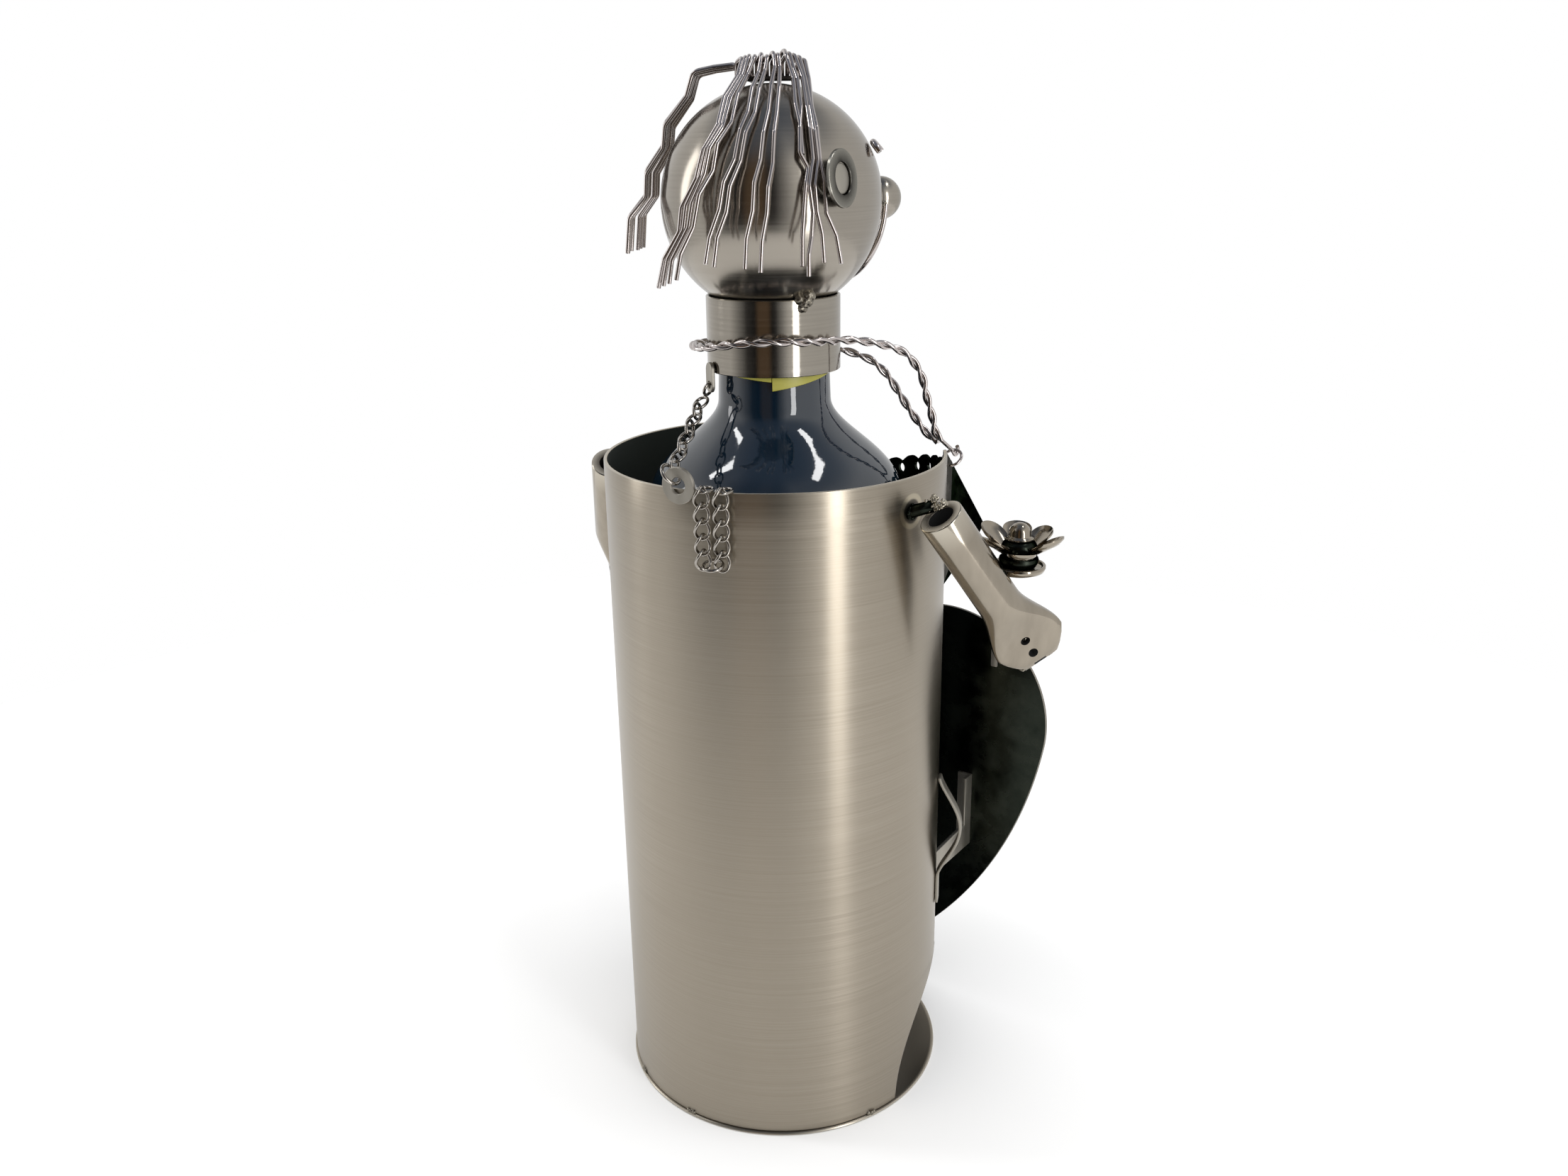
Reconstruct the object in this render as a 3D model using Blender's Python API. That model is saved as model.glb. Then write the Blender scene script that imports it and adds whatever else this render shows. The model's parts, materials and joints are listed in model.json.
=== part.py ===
"""Figurine bottle holder: a rolled sheet body that is open in front, a hollow ball head on a collar that
fits over the bottle's neck, a captive chain, wire hair, tube arms, a heart plate and a flower.

The figure faces -Y and its right hand is towards -X. The origin is the centre of the base plate's
underside. Lengths are in metres.
"""

import math

import bmesh
import bpy
from mathutils import Matrix, Vector

# Gaps and counts that every piece shares.
SEAT_GAP = 0.0003
MERGE_GAP = 0.00001
CUT_OVERRUN = 0.002
SMOOTH_ANGLE = 35.0
ROUND_SEGMENTS = 36
WASHER_SEGMENTS = 24
SMALL_SEGMENTS = 16
RING_SEGMENTS = 14
DRILL_SEGMENTS = 12
SMALL_DRILL_SEGMENTS = 10
SPLINE_STEPS = 24

# Rolled body and base plate.
SHELL_RADIUS = 0.050
SHELL_WALL = 0.001
SHELL_TOP = 0.202
FRONT_EDGE_ANGLE = 55.0
HEM_NOTCH_ANGLE = 45.0
HEM_NOTCH_HEIGHT = 0.038
SHELL_COLUMNS = 40
HEM_ROWS = 6
WALL_ROWS = 3
BASE_LIP = 0.0006
BASE_THICKNESS = 0.001

# Bottle.
BOTTLE_RADIUS = 0.0375
BOTTLE_FOOT_RADIUS = 0.0335
BOTTLE_FOOT_RISE = 0.0045
BOTTLE_SHOULDER_START = 0.186
BOTTLE_NECK_START = 0.218
BOTTLE_SHOULDER_STEPS = 9
BOTTLE_SHOULDER_EASE_SHARE = 1.35
BOTTLE_NECK_RADIUS = 0.0162
BOTTLE_TOP_RADIUS = 0.0138
BOTTLE_RING_RADIUS = 0.0144
BOTTLE_RING_HEIGHT = 0.012
BOTTLE_RING_CHAMFER = 0.001
BOTTLE_TOP = 0.298

# Head ball, collar and liner.
HEAD_RADIUS = 0.0305
HEAD_WALL = 0.0009
HEAD_MOUTH_RADIUS = 0.0168
HEAD_SEGMENTS = 32
HEAD_RINGS = 13
COLLAR_RADIUS = 0.019
COLLAR_WALL = 0.001
COLLAR_BOTTOM = 0.2266
COLLAR_HEIGHT = 0.0207
HEAD_TURN = -29.0
LINER_WALL = 0.0006
LINER_DROP = 0.0040
LINER_HEIGHT = 0.020
LINER_SLIT_ANGLE = 14.0
LINER_SLIT_TURN = 150.0
LINER_COLUMNS = 28

# Face: nose ball, smile, eyelids and washer ears. Turns are measured from the nose.
NOSE_RADIUS = 0.006
NOSE_REACH = 0.0343
NOSE_CLEARANCE = 0.0004
SMILE_WIRE_RADIUS = 0.00075
SMILE_TURN = 24.0
SMILE_TOP_RISE = -2.0
SMILE_BOTTOM_RISE = -43.0
SMILE_POINTS = 15
SMILE_EASE_SHARE = 2.2
EYELID_TURN = 33.0
EYELID_RISE = 23.0
EYELID_RADIUS = 0.0030
EYELID_STAND_OFF = 0.0009
EYELID_WIRE_RADIUS = 0.0009
EYELID_POINTS = 9
EAR_TURN = 82.0
EAR_RISE = 11.0
EAR_FACE_TURN = 57.0
EAR_FACE_RISE = 6.0
EAR_RADIUS = 0.0073
EAR_HOLE_RADIUS = 0.0037
EAR_THICKNESS = 0.001

# Crimped hair: two bundles of parallel wires, each fused to its weld bar on the crown. A fan is each wire's
# turn at its end. A route is the reach from the axis and the height over the ball's centre at each bend, as
# shares of the ball's radius.
HAIR_WIRE_RADIUS = 0.00065
HAIR_PITCH = 0.00158
HAIR_BAR_HEIGHT = 0.0016
HAIR_BAR_WIDTH = 0.004
HAIR_BAR_OVERHANG = 0.0016
BACK_HAIR_TURN = -115.0
BACK_HAIR_SHIFT = 0.0018
BACK_HAIR_START = -0.001
BACK_HAIR_FAN = (-52.0, -48.0, -44.0, -40.0, -28.0, -24.0, -11.0, -4.0, 8.0, 11.0, 14.0, 16.0, 18.0)
BACK_HAIR_ROUTE_SHARES = (
    (0.131, 1.246),
    (0.279, 1.239),
    (0.387, 1.049),
    (0.623, 0.902),
    (0.754, 0.738),
    (0.967, 0.525),
    (1.010, 0.311),
    (1.148, 0.098),
    (1.164, -0.115),
    (1.272, -0.377),
    (1.279, -0.574),
)
SIDE_HAIR_TURN = 150.0
SIDE_HAIR_SHIFT = -0.0015
SIDE_HAIR_START = 0.0118
SIDE_HAIR_FAN = (-17.0, -14.0, -11.0, -3.0, 2.0, 5.0, 8.0, 12.0)
SIDE_HAIR_ROUTE_SHARES = (
    (0.502, 1.131),
    (0.672, 1.098),
    (0.738, 0.905),
    (0.934, 0.675),
    (0.957, 0.489),
    (1.115, 0.275),
    (1.131, 0.072),
    (1.285, -0.105),
    (1.318, -0.416),
)

# Chain, its tab on the collar, the rim washer and its ring.
LINK_WIRE_RADIUS = 0.00045
LINK_WIDTH = 0.0049
LINK_CLEARANCE = 0.00045
LINK_POINTS = 12
RUN_LINKS = 8
RUN_TOP_REACH = 0.0222
RUN_TOP_DROP = 0.0012
STRAND_LINKS = 5
STRAND_PITCH = 0.0042
STRAND_SPACING = 0.0053
STRAND_ARC = 0.01021
STRAND_STAND_OFF = 0.0034
FOOT_LINK_RISE = 0.0015
FOOT_LINK_TILT = 15.0
TAB_LENGTH = 0.0085
TAB_WIDTH = 0.0044
TAB_THICKNESS = 0.001
TAB_HOLE_RADIUS = 0.0011
TAB_DROP = 0.0055
WASHER_ANGLE = -174.0
WASHER_RADIUS = 0.005
WASHER_HOLE_RADIUS = 0.0022
WASHER_THICKNESS = 0.001
WASHER_RISE = 0.0012
RING_RADIUS = 0.0029
RING_WIRE_RADIUS = 0.0005
RING_LEAN = 40.0

# Arms: round tube flattened into a closed hand with two holes.
ARM_RADIUS = 0.00625
ARM_BORE_RADIUS = 0.00375
ARM_BORE_DEPTH = 0.032
ARM_ROUND_LENGTH = 0.034
FLARE_LENGTH = 0.0160
HAND_TIP_LENGTH = 0.0070
HAND_WIDTH = 0.0212
HAND_TIP_WIDTH = 0.0115
HAND_THICKNESS = 0.0042
HAND_HOLE_RADIUS = 0.0014
HAND_HOLE_SPACING = 0.0050
SHOULDER_STAND_OFF = 0.009
SHOULDER_Y = 0.007
SHOULDER_Z = 0.1928
RIGHT_ARM_SLOPE = (-0.309, -0.491, -0.816)
LEFT_ARM_SLOPE = (0.379, -0.388, -0.839)
RIGHT_HAND_ACROSS = (-0.641, -0.527, 0.560)
LEFT_HAND_ACROSS = (0.641, -0.527, 0.560)
ARM_SIDES = 20
FLARE_STEPS = 5
FLARE_WIDTH_EASE_SHARE = 1.6
FLARE_THICKNESS_EASE_SHARE = 0.8
STUB_RADIUS = 0.0018
STUB_LENGTH = 0.0078
STUB_RISE = 0.0030
RIGHT_STUB_LIFT = -0.00042
LEFT_STUB_LIFT = -0.00108

# Heart plate and the strips that carry it.
HEART_STAND_OFF = 0.0030
HEART_THICKNESS = 0.001
HEART_TIP_HEIGHT = 0.003
HEART_LOBE_RADIUS = 0.0355
HEART_CLEFT_OVERLAP = 0.0045
HEART_LOBE_Z = 0.109
HEART_SIDE_TURN = 10.0
HEART_SIDE_STEPS = 8
HEART_LOBE_STEPS = 12
STRIP_THICKNESS = 0.0012
LOWER_STRIP_OVERHANG = 0.00024
LOWER_STRIP_WIDTH = 0.0048
LOWER_STRIP_DROP = 0.048
LOWER_STRIP_HEIGHT = 0.026
LOWER_STRIP_LIP = 0.0034
WEB_HEIGHT = 0.0075
UPPER_STRIP_SPREAD = 0.0180
UPPER_STRIP_WIDTH = 0.0021
UPPER_STRIP_RISE = 0.0185
UPPER_STRIP_HEIGHT = 0.009

# Bowed strip on the right front edge.
BOW_ANGLE = -66.0
BOW_WIDTH = 0.004
BOW_THICKNESS = 0.0008
BOW_TOP = 0.101
BOW_HEIGHT = 0.044
BOW_REACH = 0.0068
BOW_STEPS = 14
BOW_LENGTH_SHARE = 0.78
BOW_EASE_SHARE = 1.4

# Lapels, lace and the twisted neck wire.
LAPEL_THICKNESS = 0.0008
LAPEL_TOP_DROP = 0.001
LAPEL_REACH = 0.0255
LAPEL_FALL = 0.0275
LAPEL_LENGTH = 0.041
LAPEL_TIP_REACH_SHARE = 0.86
LAPEL_TIP_FALL_SHARE = 1.12
LAPEL_HOLE_RADIUS = 0.0009
LAPEL_HOLE_INSET = 0.0019
LAPEL_HOLE_DROP = 0.0042
LACE_WALL = 0.0008
LACE_HALF_ANGLE = 60.0
LACE_EDGE_TOP = 0.2005
LACE_MIDDLE_TOP = 0.188
LACE_HEIGHT = 0.020
LACE_SCALLOP = 0.0016
LACE_SCALLOPS = 12
LACE_COLUMNS = 36
LACE_HOLE_RADIUS = 0.0014
LACE_HOLE_LIMIT_ANGLE = 50.5
LACE_ROW_SHARES = (0.177, 0.463, 0.749)
LACE_HOLE_SEGMENTS = 8
STRAP_RING_RADIUS = 0.0029
STRAP_RING_WIRE_RADIUS = 0.00045
STRAP_RING_LIFT = 0.0027
STRAP_TAIL_LIFT = 0.0042
STRAP_TAIL_HALF = 0.0022
TWIST_WIRE_RADIUS = 0.0006
TWIST_RADIUS = 0.00085
TWIST_PITCH = 0.0085
TWIST_STEPS = 5
# The loop's route: from the ring up to the collar, round its back and its front, and down again.
NECK_ROUTE = (
    (-0.0386, -0.0296, 0.2044),
    (-0.0372, -0.0284, 0.2070),
    (-0.0367, -0.0273, 0.2116),
    (-0.0356, -0.0253, 0.2184),
    (-0.0347, -0.0237, 0.2243),
    (-0.0325, -0.0199, 0.2299),
    (-0.0298, -0.0151, 0.2327),
    (-0.0259, -0.0082, 0.2347),
    (-0.0228, -0.0025, 0.2356),
    (-0.0200, 0.0105, 0.2364),
    (-0.0140, 0.0181, 0.2369),
    (-0.0046, 0.0224, 0.2362),
    (0.0078, 0.0215, 0.2344),
    (0.0185, 0.0135, 0.2332),
    (0.0229, 0.0000, 0.2322),
    (0.0175, -0.0150, 0.2312),
    (0.0050, -0.0226, 0.2300),
    (-0.0073, -0.0222, 0.2296),
    (-0.0115, -0.0241, 0.2284),
    (-0.0163, -0.0263, 0.2264),
    (-0.0204, -0.0282, 0.2225),
    (-0.0237, -0.0297, 0.2173),
    (-0.0272, -0.0313, 0.2114),
    (-0.0318, -0.0332, 0.2050),
    (-0.0352, -0.0340, 0.2026),
)

# Flower on the right arm.
FLOWER_OFFSET = 0.0108
FLOWER_Y = -0.0195
FLOWER_Z = 0.1722
SAUCER_RADIUS = 0.0071
SAUCER_HEIGHT = 0.0022
SAUCER_LIP = 0.0008
CUP_RADIUS = 0.0056
CUP_HEIGHT = 0.0026
CUP_FOOT_RADIUS = 0.0040
CUP_RIM_SHARE = 0.33
PETAL_COUNT = 6
PETAL_LENGTH = 0.0122
PETAL_ROUND_SHARE = 0.45
PETAL_COLUMNS = 8
PETAL_RISE = 0.0046
PETAL_THICKNESS = 0.0006
PETAL_HUB_RADIUS = 0.0030
PETAL_STEPS = 4
SEED_RADIUS = 0.0040
SEED_HEIGHT = 0.0046
SEED_TOP_SHARE = 0.7
CAP_RADIUS = 0.0027
CAP_HEIGHT = 0.0040
CAP_TOP_SHARE = 0.7
CAP_SIDE_SHARE = 0.67

ORIGIN = Vector((0, 0, 0))
UP = Vector((0, 0, 1))


def material(name, colour, roughness, metallic=1.0):
    found = bpy.data.materials.get(name)
    if found:
        return found
    made = bpy.data.materials.new(name)
    made.use_nodes = True
    shader = made.node_tree.nodes["Principled BSDF"]
    shader.inputs["Base Color"].default_value = (*colour, 1)
    shader.inputs["Roughness"].default_value = roughness
    shader.inputs["Metallic"].default_value = metallic
    return made


def brushed_steel():
    return material("brushed_steel", (0.45, 0.42, 0.37), 0.36)


def bright_wire():
    return material("bright_wire", (0.50, 0.46, 0.43), 0.20)


def dark_steel():
    return material("dark_steel", (0.06, 0.065, 0.055), 0.35)


def bottle_glass():
    return material("bottle_glass", (0.005, 0.010, 0.045), 0.05, 0.0)


def liner_plastic():
    return material("liner_plastic", (0.72, 0.70, 0.12), 0.35, 0.0)


def polar(angle, radius, height=0.0):
    """A point at this angle from the front, positive towards the figure's left."""
    turn = math.radians(angle)
    return Vector((radius * math.sin(turn), -radius * math.cos(turn), height))


def on_ball(turn, rise, radius):
    """A point about the head's centre, at this turn from the nose and this rise above it."""
    flat = polar(turn, radius * math.cos(math.radians(rise)))
    return flat + UP * radius * math.sin(math.radians(rise))


def smooth(mesh):
    mesh.shade_smooth()
    mesh.set_sharp_from_angle(angle=math.radians(SMOOTH_ANGLE))


def place(name, shape, finish, pivot=ORIGIN):
    """A named object from a bmesh, with its own origin at the pivot."""
    bmesh.ops.remove_doubles(shape, verts=shape.verts, dist=MERGE_GAP)
    bmesh.ops.recalc_face_normals(shape, faces=shape.faces)
    bmesh.ops.translate(shape, verts=shape.verts, vec=-pivot)
    mesh = bpy.data.meshes.new(name)
    shape.to_mesh(mesh)
    shape.free()
    smooth(mesh)
    mesh.materials.append(finish)
    made = bpy.data.objects.new(name, mesh)
    made.location = pivot
    bpy.context.collection.objects.link(made)
    return made


def helper(name, shape):
    """A cutter or a guide, which is left out of renders."""
    made = place(name, shape, dark_steel())
    made.hide_render = True
    made.display_type = "WIRE"
    return made


def boolean(target, tool, operation):
    modifier = target.modifiers.new(operation.lower(), "BOOLEAN")
    modifier.object = tool
    modifier.operation = operation
    modifier.solver = "EXACT"
    modifier.use_self = operation == "UNION"
    return modifier


def drill_through(target, name, radius, depth, where, segments=DRILL_SEGMENTS):
    drill = bmesh.new()
    sizes = {"radius1": radius, "radius2": radius, "depth": depth}
    bmesh.ops.create_cone(drill, cap_ends=True, segments=segments, **sizes)
    boolean(target, helper(name, moved(drill, where)), "DIFFERENCE")


def frame_along(direction, side=UP):
    """A matrix whose Z runs along the direction and whose X lies as near as it can to the side."""
    z = direction.normalized()
    x = side - z * side.dot(z)
    if x.length < SEAT_GAP:
        x = Vector((1, 0, 0)) - z * z.x
    x.normalize()
    y = z.cross(x)
    return Matrix((x, y, z)).transposed().to_4x4()


def turned(profile, segments=ROUND_SEGMENTS, closed=False):
    """A solid turned about Z from (radius, height) points. An open profile starts and ends on the axis."""
    shape = bmesh.new()
    points = [shape.verts.new((radius, 0, height)) for radius, height in profile]
    edges = [shape.edges.new(pair) for pair in zip(points, points[1:])]
    if closed:
        edges.append(shape.edges.new((points[-1], points[0])))
    bmesh.ops.spin(
        shape, geom=points + edges, cent=ORIGIN, axis=UP, angle=math.tau, steps=segments, use_duplicate=False
    )
    bmesh.ops.remove_doubles(shape, verts=shape.verts, dist=MERGE_GAP)
    return shape


def extruded(outline, depth):
    """A flat plate from (x, y) points, from Z zero up to the depth."""
    shape = bmesh.new()
    face = shape.faces.new([shape.verts.new((x, y, 0)) for x, y in outline])
    grown = bmesh.ops.extrude_face_region(shape, geom=[face])
    moved = [item for item in grown["geom"] if isinstance(item, bmesh.types.BMVert)]
    bmesh.ops.translate(shape, verts=moved, vec=UP * depth)
    return shape


def lofted(rings):
    """A closed solid through rings of equal point counts."""
    shape = bmesh.new()
    rows = [[shape.verts.new(point) for point in ring] for ring in rings]
    for low, high in zip(rows, rows[1:]):
        for i, corner in enumerate(low):
            after = (i + 1) % len(low)
            shape.faces.new((corner, low[after], high[after], high[i]))
    shape.faces.new(list(reversed(rows[0])))
    shape.faces.new(rows[-1])
    return shape


def moved(shape, matrix):
    bmesh.ops.transform(shape, matrix=matrix, verts=shape.verts)
    return shape


def wire_data(name, points, radius, finish, closed=False, sides=1):
    curve = bpy.data.curves.new(name, "CURVE")
    curve.dimensions = "3D"
    curve.twist_mode = "MINIMUM"
    curve.bevel_depth = radius
    curve.bevel_resolution = sides
    curve.use_fill_caps = not closed
    spline = curve.splines.new("POLY")
    spline.points.add(len(points) - 1)
    for point, place_at in zip(spline.points, points):
        point.co = (*place_at, 1)
    spline.use_cyclic_u = closed
    curve.materials.append(finish)
    return curve


def wire(name, points, radius, finish, closed=False, sides=1, pivot=ORIGIN):
    data = wire_data(name, [point - pivot for point in points], radius, finish, closed, sides)
    made = bpy.data.objects.new(name, data)
    made.location = pivot
    bpy.context.collection.objects.link(made)
    return made


def ring_points(radius, count, matrix):
    return [matrix @ polar(360 * i / count, radius) for i in range(count)]


def spline_through(route, step):
    """Evenly spaced points on a smooth curve through the route's own points."""
    dense = []
    for i in range(len(route) - 1):
        near = [min(max(i + k, 0), len(route) - 1) for k in (-1, 0, 1, 2)]
        before, start, end, after = (Vector(route[k]) for k in near)
        for k in range(SPLINE_STEPS):
            t = k / SPLINE_STEPS
            dense.append(
                start
                + (end - before) * (t / 2)
                + (before * 2 - start * 5 + end * 4 - after) * (t * t / 2)
                + (start * 3 - before - end * 3 + after) * (t**3 / 2)
            )
    dense.append(Vector(route[-1]))
    lengths = [0.0]
    for first, second in zip(dense, dense[1:]):
        lengths.append(lengths[-1] + (second - first).length)
    count = max(2, round(lengths[-1] / step))
    picked = []
    at = 0
    for k in range(count + 1):
        wanted = lengths[-1] * k / count
        while at < len(lengths) - 2 and lengths[at + 1] < wanted:
            at += 1
        share = (wanted - lengths[at]) / max(lengths[at + 1] - lengths[at], SEAT_GAP**2)
        picked.append(dense[at].lerp(dense[at + 1], min(share, 1)))
    return picked


def hem_angle(height):
    """The angle of the body's front edge at this height. A quarter ellipse is cut out of each hem corner."""
    if height >= HEM_NOTCH_HEIGHT:
        return FRONT_EDGE_ANGLE
    return FRONT_EDGE_ANGLE + HEM_NOTCH_ANGLE * math.sqrt(1 - (height / HEM_NOTCH_HEIGHT) ** 2)


def make_shell():
    bottom = BASE_THICKNESS + SEAT_GAP
    first = math.asin(bottom / HEM_NOTCH_HEIGHT)
    step = (math.pi / 2 - first) / HEM_ROWS
    heights = [HEM_NOTCH_HEIGHT * math.sin(first + step * row) for row in range(HEM_ROWS + 1)]
    rise = SHELL_TOP - HEM_NOTCH_HEIGHT
    heights += [HEM_NOTCH_HEIGHT + rise * (row + 1) / WALL_ROWS for row in range(WALL_ROWS)]
    shape = bmesh.new()
    layers = []
    for radius in (SHELL_RADIUS, SHELL_RADIUS - SHELL_WALL):
        rows = []
        for height in heights:
            edge = hem_angle(height)
            turns = [edge + (360 - 2 * edge) * column / SHELL_COLUMNS for column in range(SHELL_COLUMNS + 1)]
            rows.append([shape.verts.new(polar(turn, radius, height)) for turn in turns])
        for low, high in zip(rows, rows[1:]):
            for i in range(SHELL_COLUMNS):
                shape.faces.new((low[i], low[i + 1], high[i + 1], high[i]))
        layers.append(rows)
    outer, inner = layers
    for i in range(SHELL_COLUMNS):
        shape.faces.new((outer[0][i], outer[0][i + 1], inner[0][i + 1], inner[0][i]))
        shape.faces.new((outer[-1][i], outer[-1][i + 1], inner[-1][i + 1], inner[-1][i]))
    for end in (0, -1):
        for k in range(len(heights) - 1):
            shape.faces.new((outer[k][end], outer[k + 1][end], inner[k + 1][end], inner[k][end]))
    place("body_shell", shape, brushed_steel())


def make_base_plate():
    radius = SHELL_RADIUS + BASE_LIP
    profile = [(0, 0), (radius, 0), (radius, BASE_THICKNESS), (0, BASE_THICKNESS)]
    place("base_plate", turned(profile), brushed_steel())


def bottle_shoulder(share):
    """Radius share of the shoulder: a quarter turn outwards, then a hollow run into the neck."""
    return (1 + math.cos(math.pi * share**BOTTLE_SHOULDER_EASE_SHARE)) / 2


def make_bottle():
    foot = BASE_THICKNESS + SEAT_GAP
    profile = [(0, foot), (BOTTLE_FOOT_RADIUS, foot), (BOTTLE_RADIUS, foot + BOTTLE_FOOT_RISE)]
    for step in range(BOTTLE_SHOULDER_STEPS + 1):
        share = step / BOTTLE_SHOULDER_STEPS
        radius = BOTTLE_NECK_RADIUS + (BOTTLE_RADIUS - BOTTLE_NECK_RADIUS) * bottle_shoulder(share)
        height = BOTTLE_SHOULDER_START + (BOTTLE_NECK_START - BOTTLE_SHOULDER_START) * share
        profile.append((radius, height))
    ring_bottom = BOTTLE_TOP - BOTTLE_RING_HEIGHT
    profile += [
        (BOTTLE_TOP_RADIUS, ring_bottom - BOTTLE_RING_CHAMFER),
        (BOTTLE_RING_RADIUS, ring_bottom),
        (BOTTLE_RING_RADIUS, BOTTLE_TOP - BOTTLE_RING_CHAMFER),
        (BOTTLE_RING_RADIUS - BOTTLE_RING_CHAMFER, BOTTLE_TOP),
        (0, BOTTLE_TOP),
    ]
    place("bottle", turned(profile), bottle_glass())


def head_centre():
    """The ball sits in the collar's upper inner edge."""
    seat = COLLAR_RADIUS - COLLAR_WALL
    rise = math.sqrt((HEAD_RADIUS + SEAT_GAP) ** 2 - seat**2)
    return UP * (COLLAR_BOTTOM + COLLAR_HEIGHT + rise)


def head_place(turn, rise, radius):
    return head_centre() + Matrix.Rotation(math.radians(HEAD_TURN), 3, "Z") @ on_ball(turn, rise, radius)


def make_head_ball():
    inner = HEAD_RADIUS - HEAD_WALL
    lowest = -math.acos(HEAD_MOUTH_RADIUS / HEAD_RADIUS)
    lowest_inner = -math.acos(HEAD_MOUTH_RADIUS / inner)
    profile = []
    for ring in range(HEAD_RINGS + 1):
        angle = math.pi / 2 + (lowest - math.pi / 2) * ring / HEAD_RINGS
        profile.append((HEAD_RADIUS * math.cos(angle) * (ring > 0), HEAD_RADIUS * math.sin(angle)))
    for ring in range(HEAD_RINGS + 1):
        angle = lowest_inner + (math.pi / 2 - lowest_inner) * ring / HEAD_RINGS
        profile.append((inner * math.cos(angle) * (ring < HEAD_RINGS), inner * math.sin(angle)))
    centre = head_centre()
    shape = moved(turned(profile, HEAD_SEGMENTS), Matrix.Translation(centre))
    ball = place("head_ball", shape, brushed_steel(), centre)
    seat = bmesh.new()
    bmesh.ops.create_icosphere(seat, subdivisions=3, radius=NOSE_RADIUS + NOSE_CLEARANCE)
    cutter = helper("nose_seat", moved(seat, Matrix.Translation(head_place(0, 0, NOSE_REACH))))
    boolean(ball, cutter, "DIFFERENCE")
    nose = bmesh.new()
    bmesh.ops.create_uvsphere(nose, u_segments=16, v_segments=10, radius=NOSE_RADIUS)
    place("nose", moved(nose, Matrix.Translation(head_place(0, 0, NOSE_REACH))), bright_wire(), centre)


def make_smile():
    reach = HEAD_RADIUS + SMILE_WIRE_RADIUS + SEAT_GAP
    points = []
    for k in range(SMILE_POINTS):
        share = 2 * k / (SMILE_POINTS - 1) - 1
        rise = SMILE_BOTTOM_RISE + (SMILE_TOP_RISE - SMILE_BOTTOM_RISE) * abs(share) ** SMILE_EASE_SHARE
        points.append(head_place(SMILE_TURN * math.sin(share * math.pi / 2), rise, reach))
    wire("smile_wire", points, SMILE_WIRE_RADIUS, bright_wire(), sides=2, pivot=head_centre())


def make_eyelids():
    """Half rings, arched upwards. The top of each lies on the ball, and its ends stand off."""
    for side, name in ((-1, "eyelid_right"), (1, "eyelid_left")):
        reach = math.sqrt((HEAD_RADIUS + SEAT_GAP + EYELID_WIRE_RADIUS) ** 2 - EYELID_RADIUS**2)
        middle = head_place(side * EYELID_TURN, EYELID_RISE, reach)
        out = (middle - head_centre()).normalized()
        across = UP.cross(out).normalized()
        top = out.cross(across)
        points = []
        for k in range(EYELID_POINTS):
            turn = math.pi * k / (EYELID_POINTS - 1)
            flat = across * EYELID_RADIUS * math.cos(turn) + top * EYELID_RADIUS * math.sin(turn)
            points.append(middle + flat + out * EYELID_STAND_OFF * (1 - math.sin(turn)))
        wire(name, points, EYELID_WIRE_RADIUS, bright_wire(), pivot=head_centre())


def make_ears():
    for side, name in ((-1, "ear_washer_right"), (1, "ear_washer_left")):
        out = (head_place(side * EAR_TURN, EAR_RISE, HEAD_RADIUS) - head_centre()).normalized()
        face = (head_place(side * EAR_FACE_TURN, EAR_FACE_RISE, HEAD_RADIUS) - head_centre()).normalized()
        frame = frame_along(face)
        clear = HEAD_RADIUS + SEAT_GAP
        reach = 0.0
        for radius in (EAR_HOLE_RADIUS, EAR_RADIUS):
            for corner in ring_points(radius, SMALL_SEGMENTS, frame):
                # The distance along the ball's own direction at which this corner clears the ball.
                offset = corner - face * (EAR_THICKNESS / 2)
                along = out.dot(offset)
                reach = max(reach, math.sqrt(along**2 - offset.length_squared + clear**2) - along)
        profile = [
            (EAR_HOLE_RADIUS, -EAR_THICKNESS / 2),
            (EAR_RADIUS, -EAR_THICKNESS / 2),
            (EAR_RADIUS, EAR_THICKNESS / 2),
            (EAR_HOLE_RADIUS, EAR_THICKNESS / 2),
        ]
        where = Matrix.Translation(head_centre() + out * reach) @ frame
        place(name, moved(turned(profile, WASHER_SEGMENTS, closed=True), where), dark_steel(), head_centre())


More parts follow.
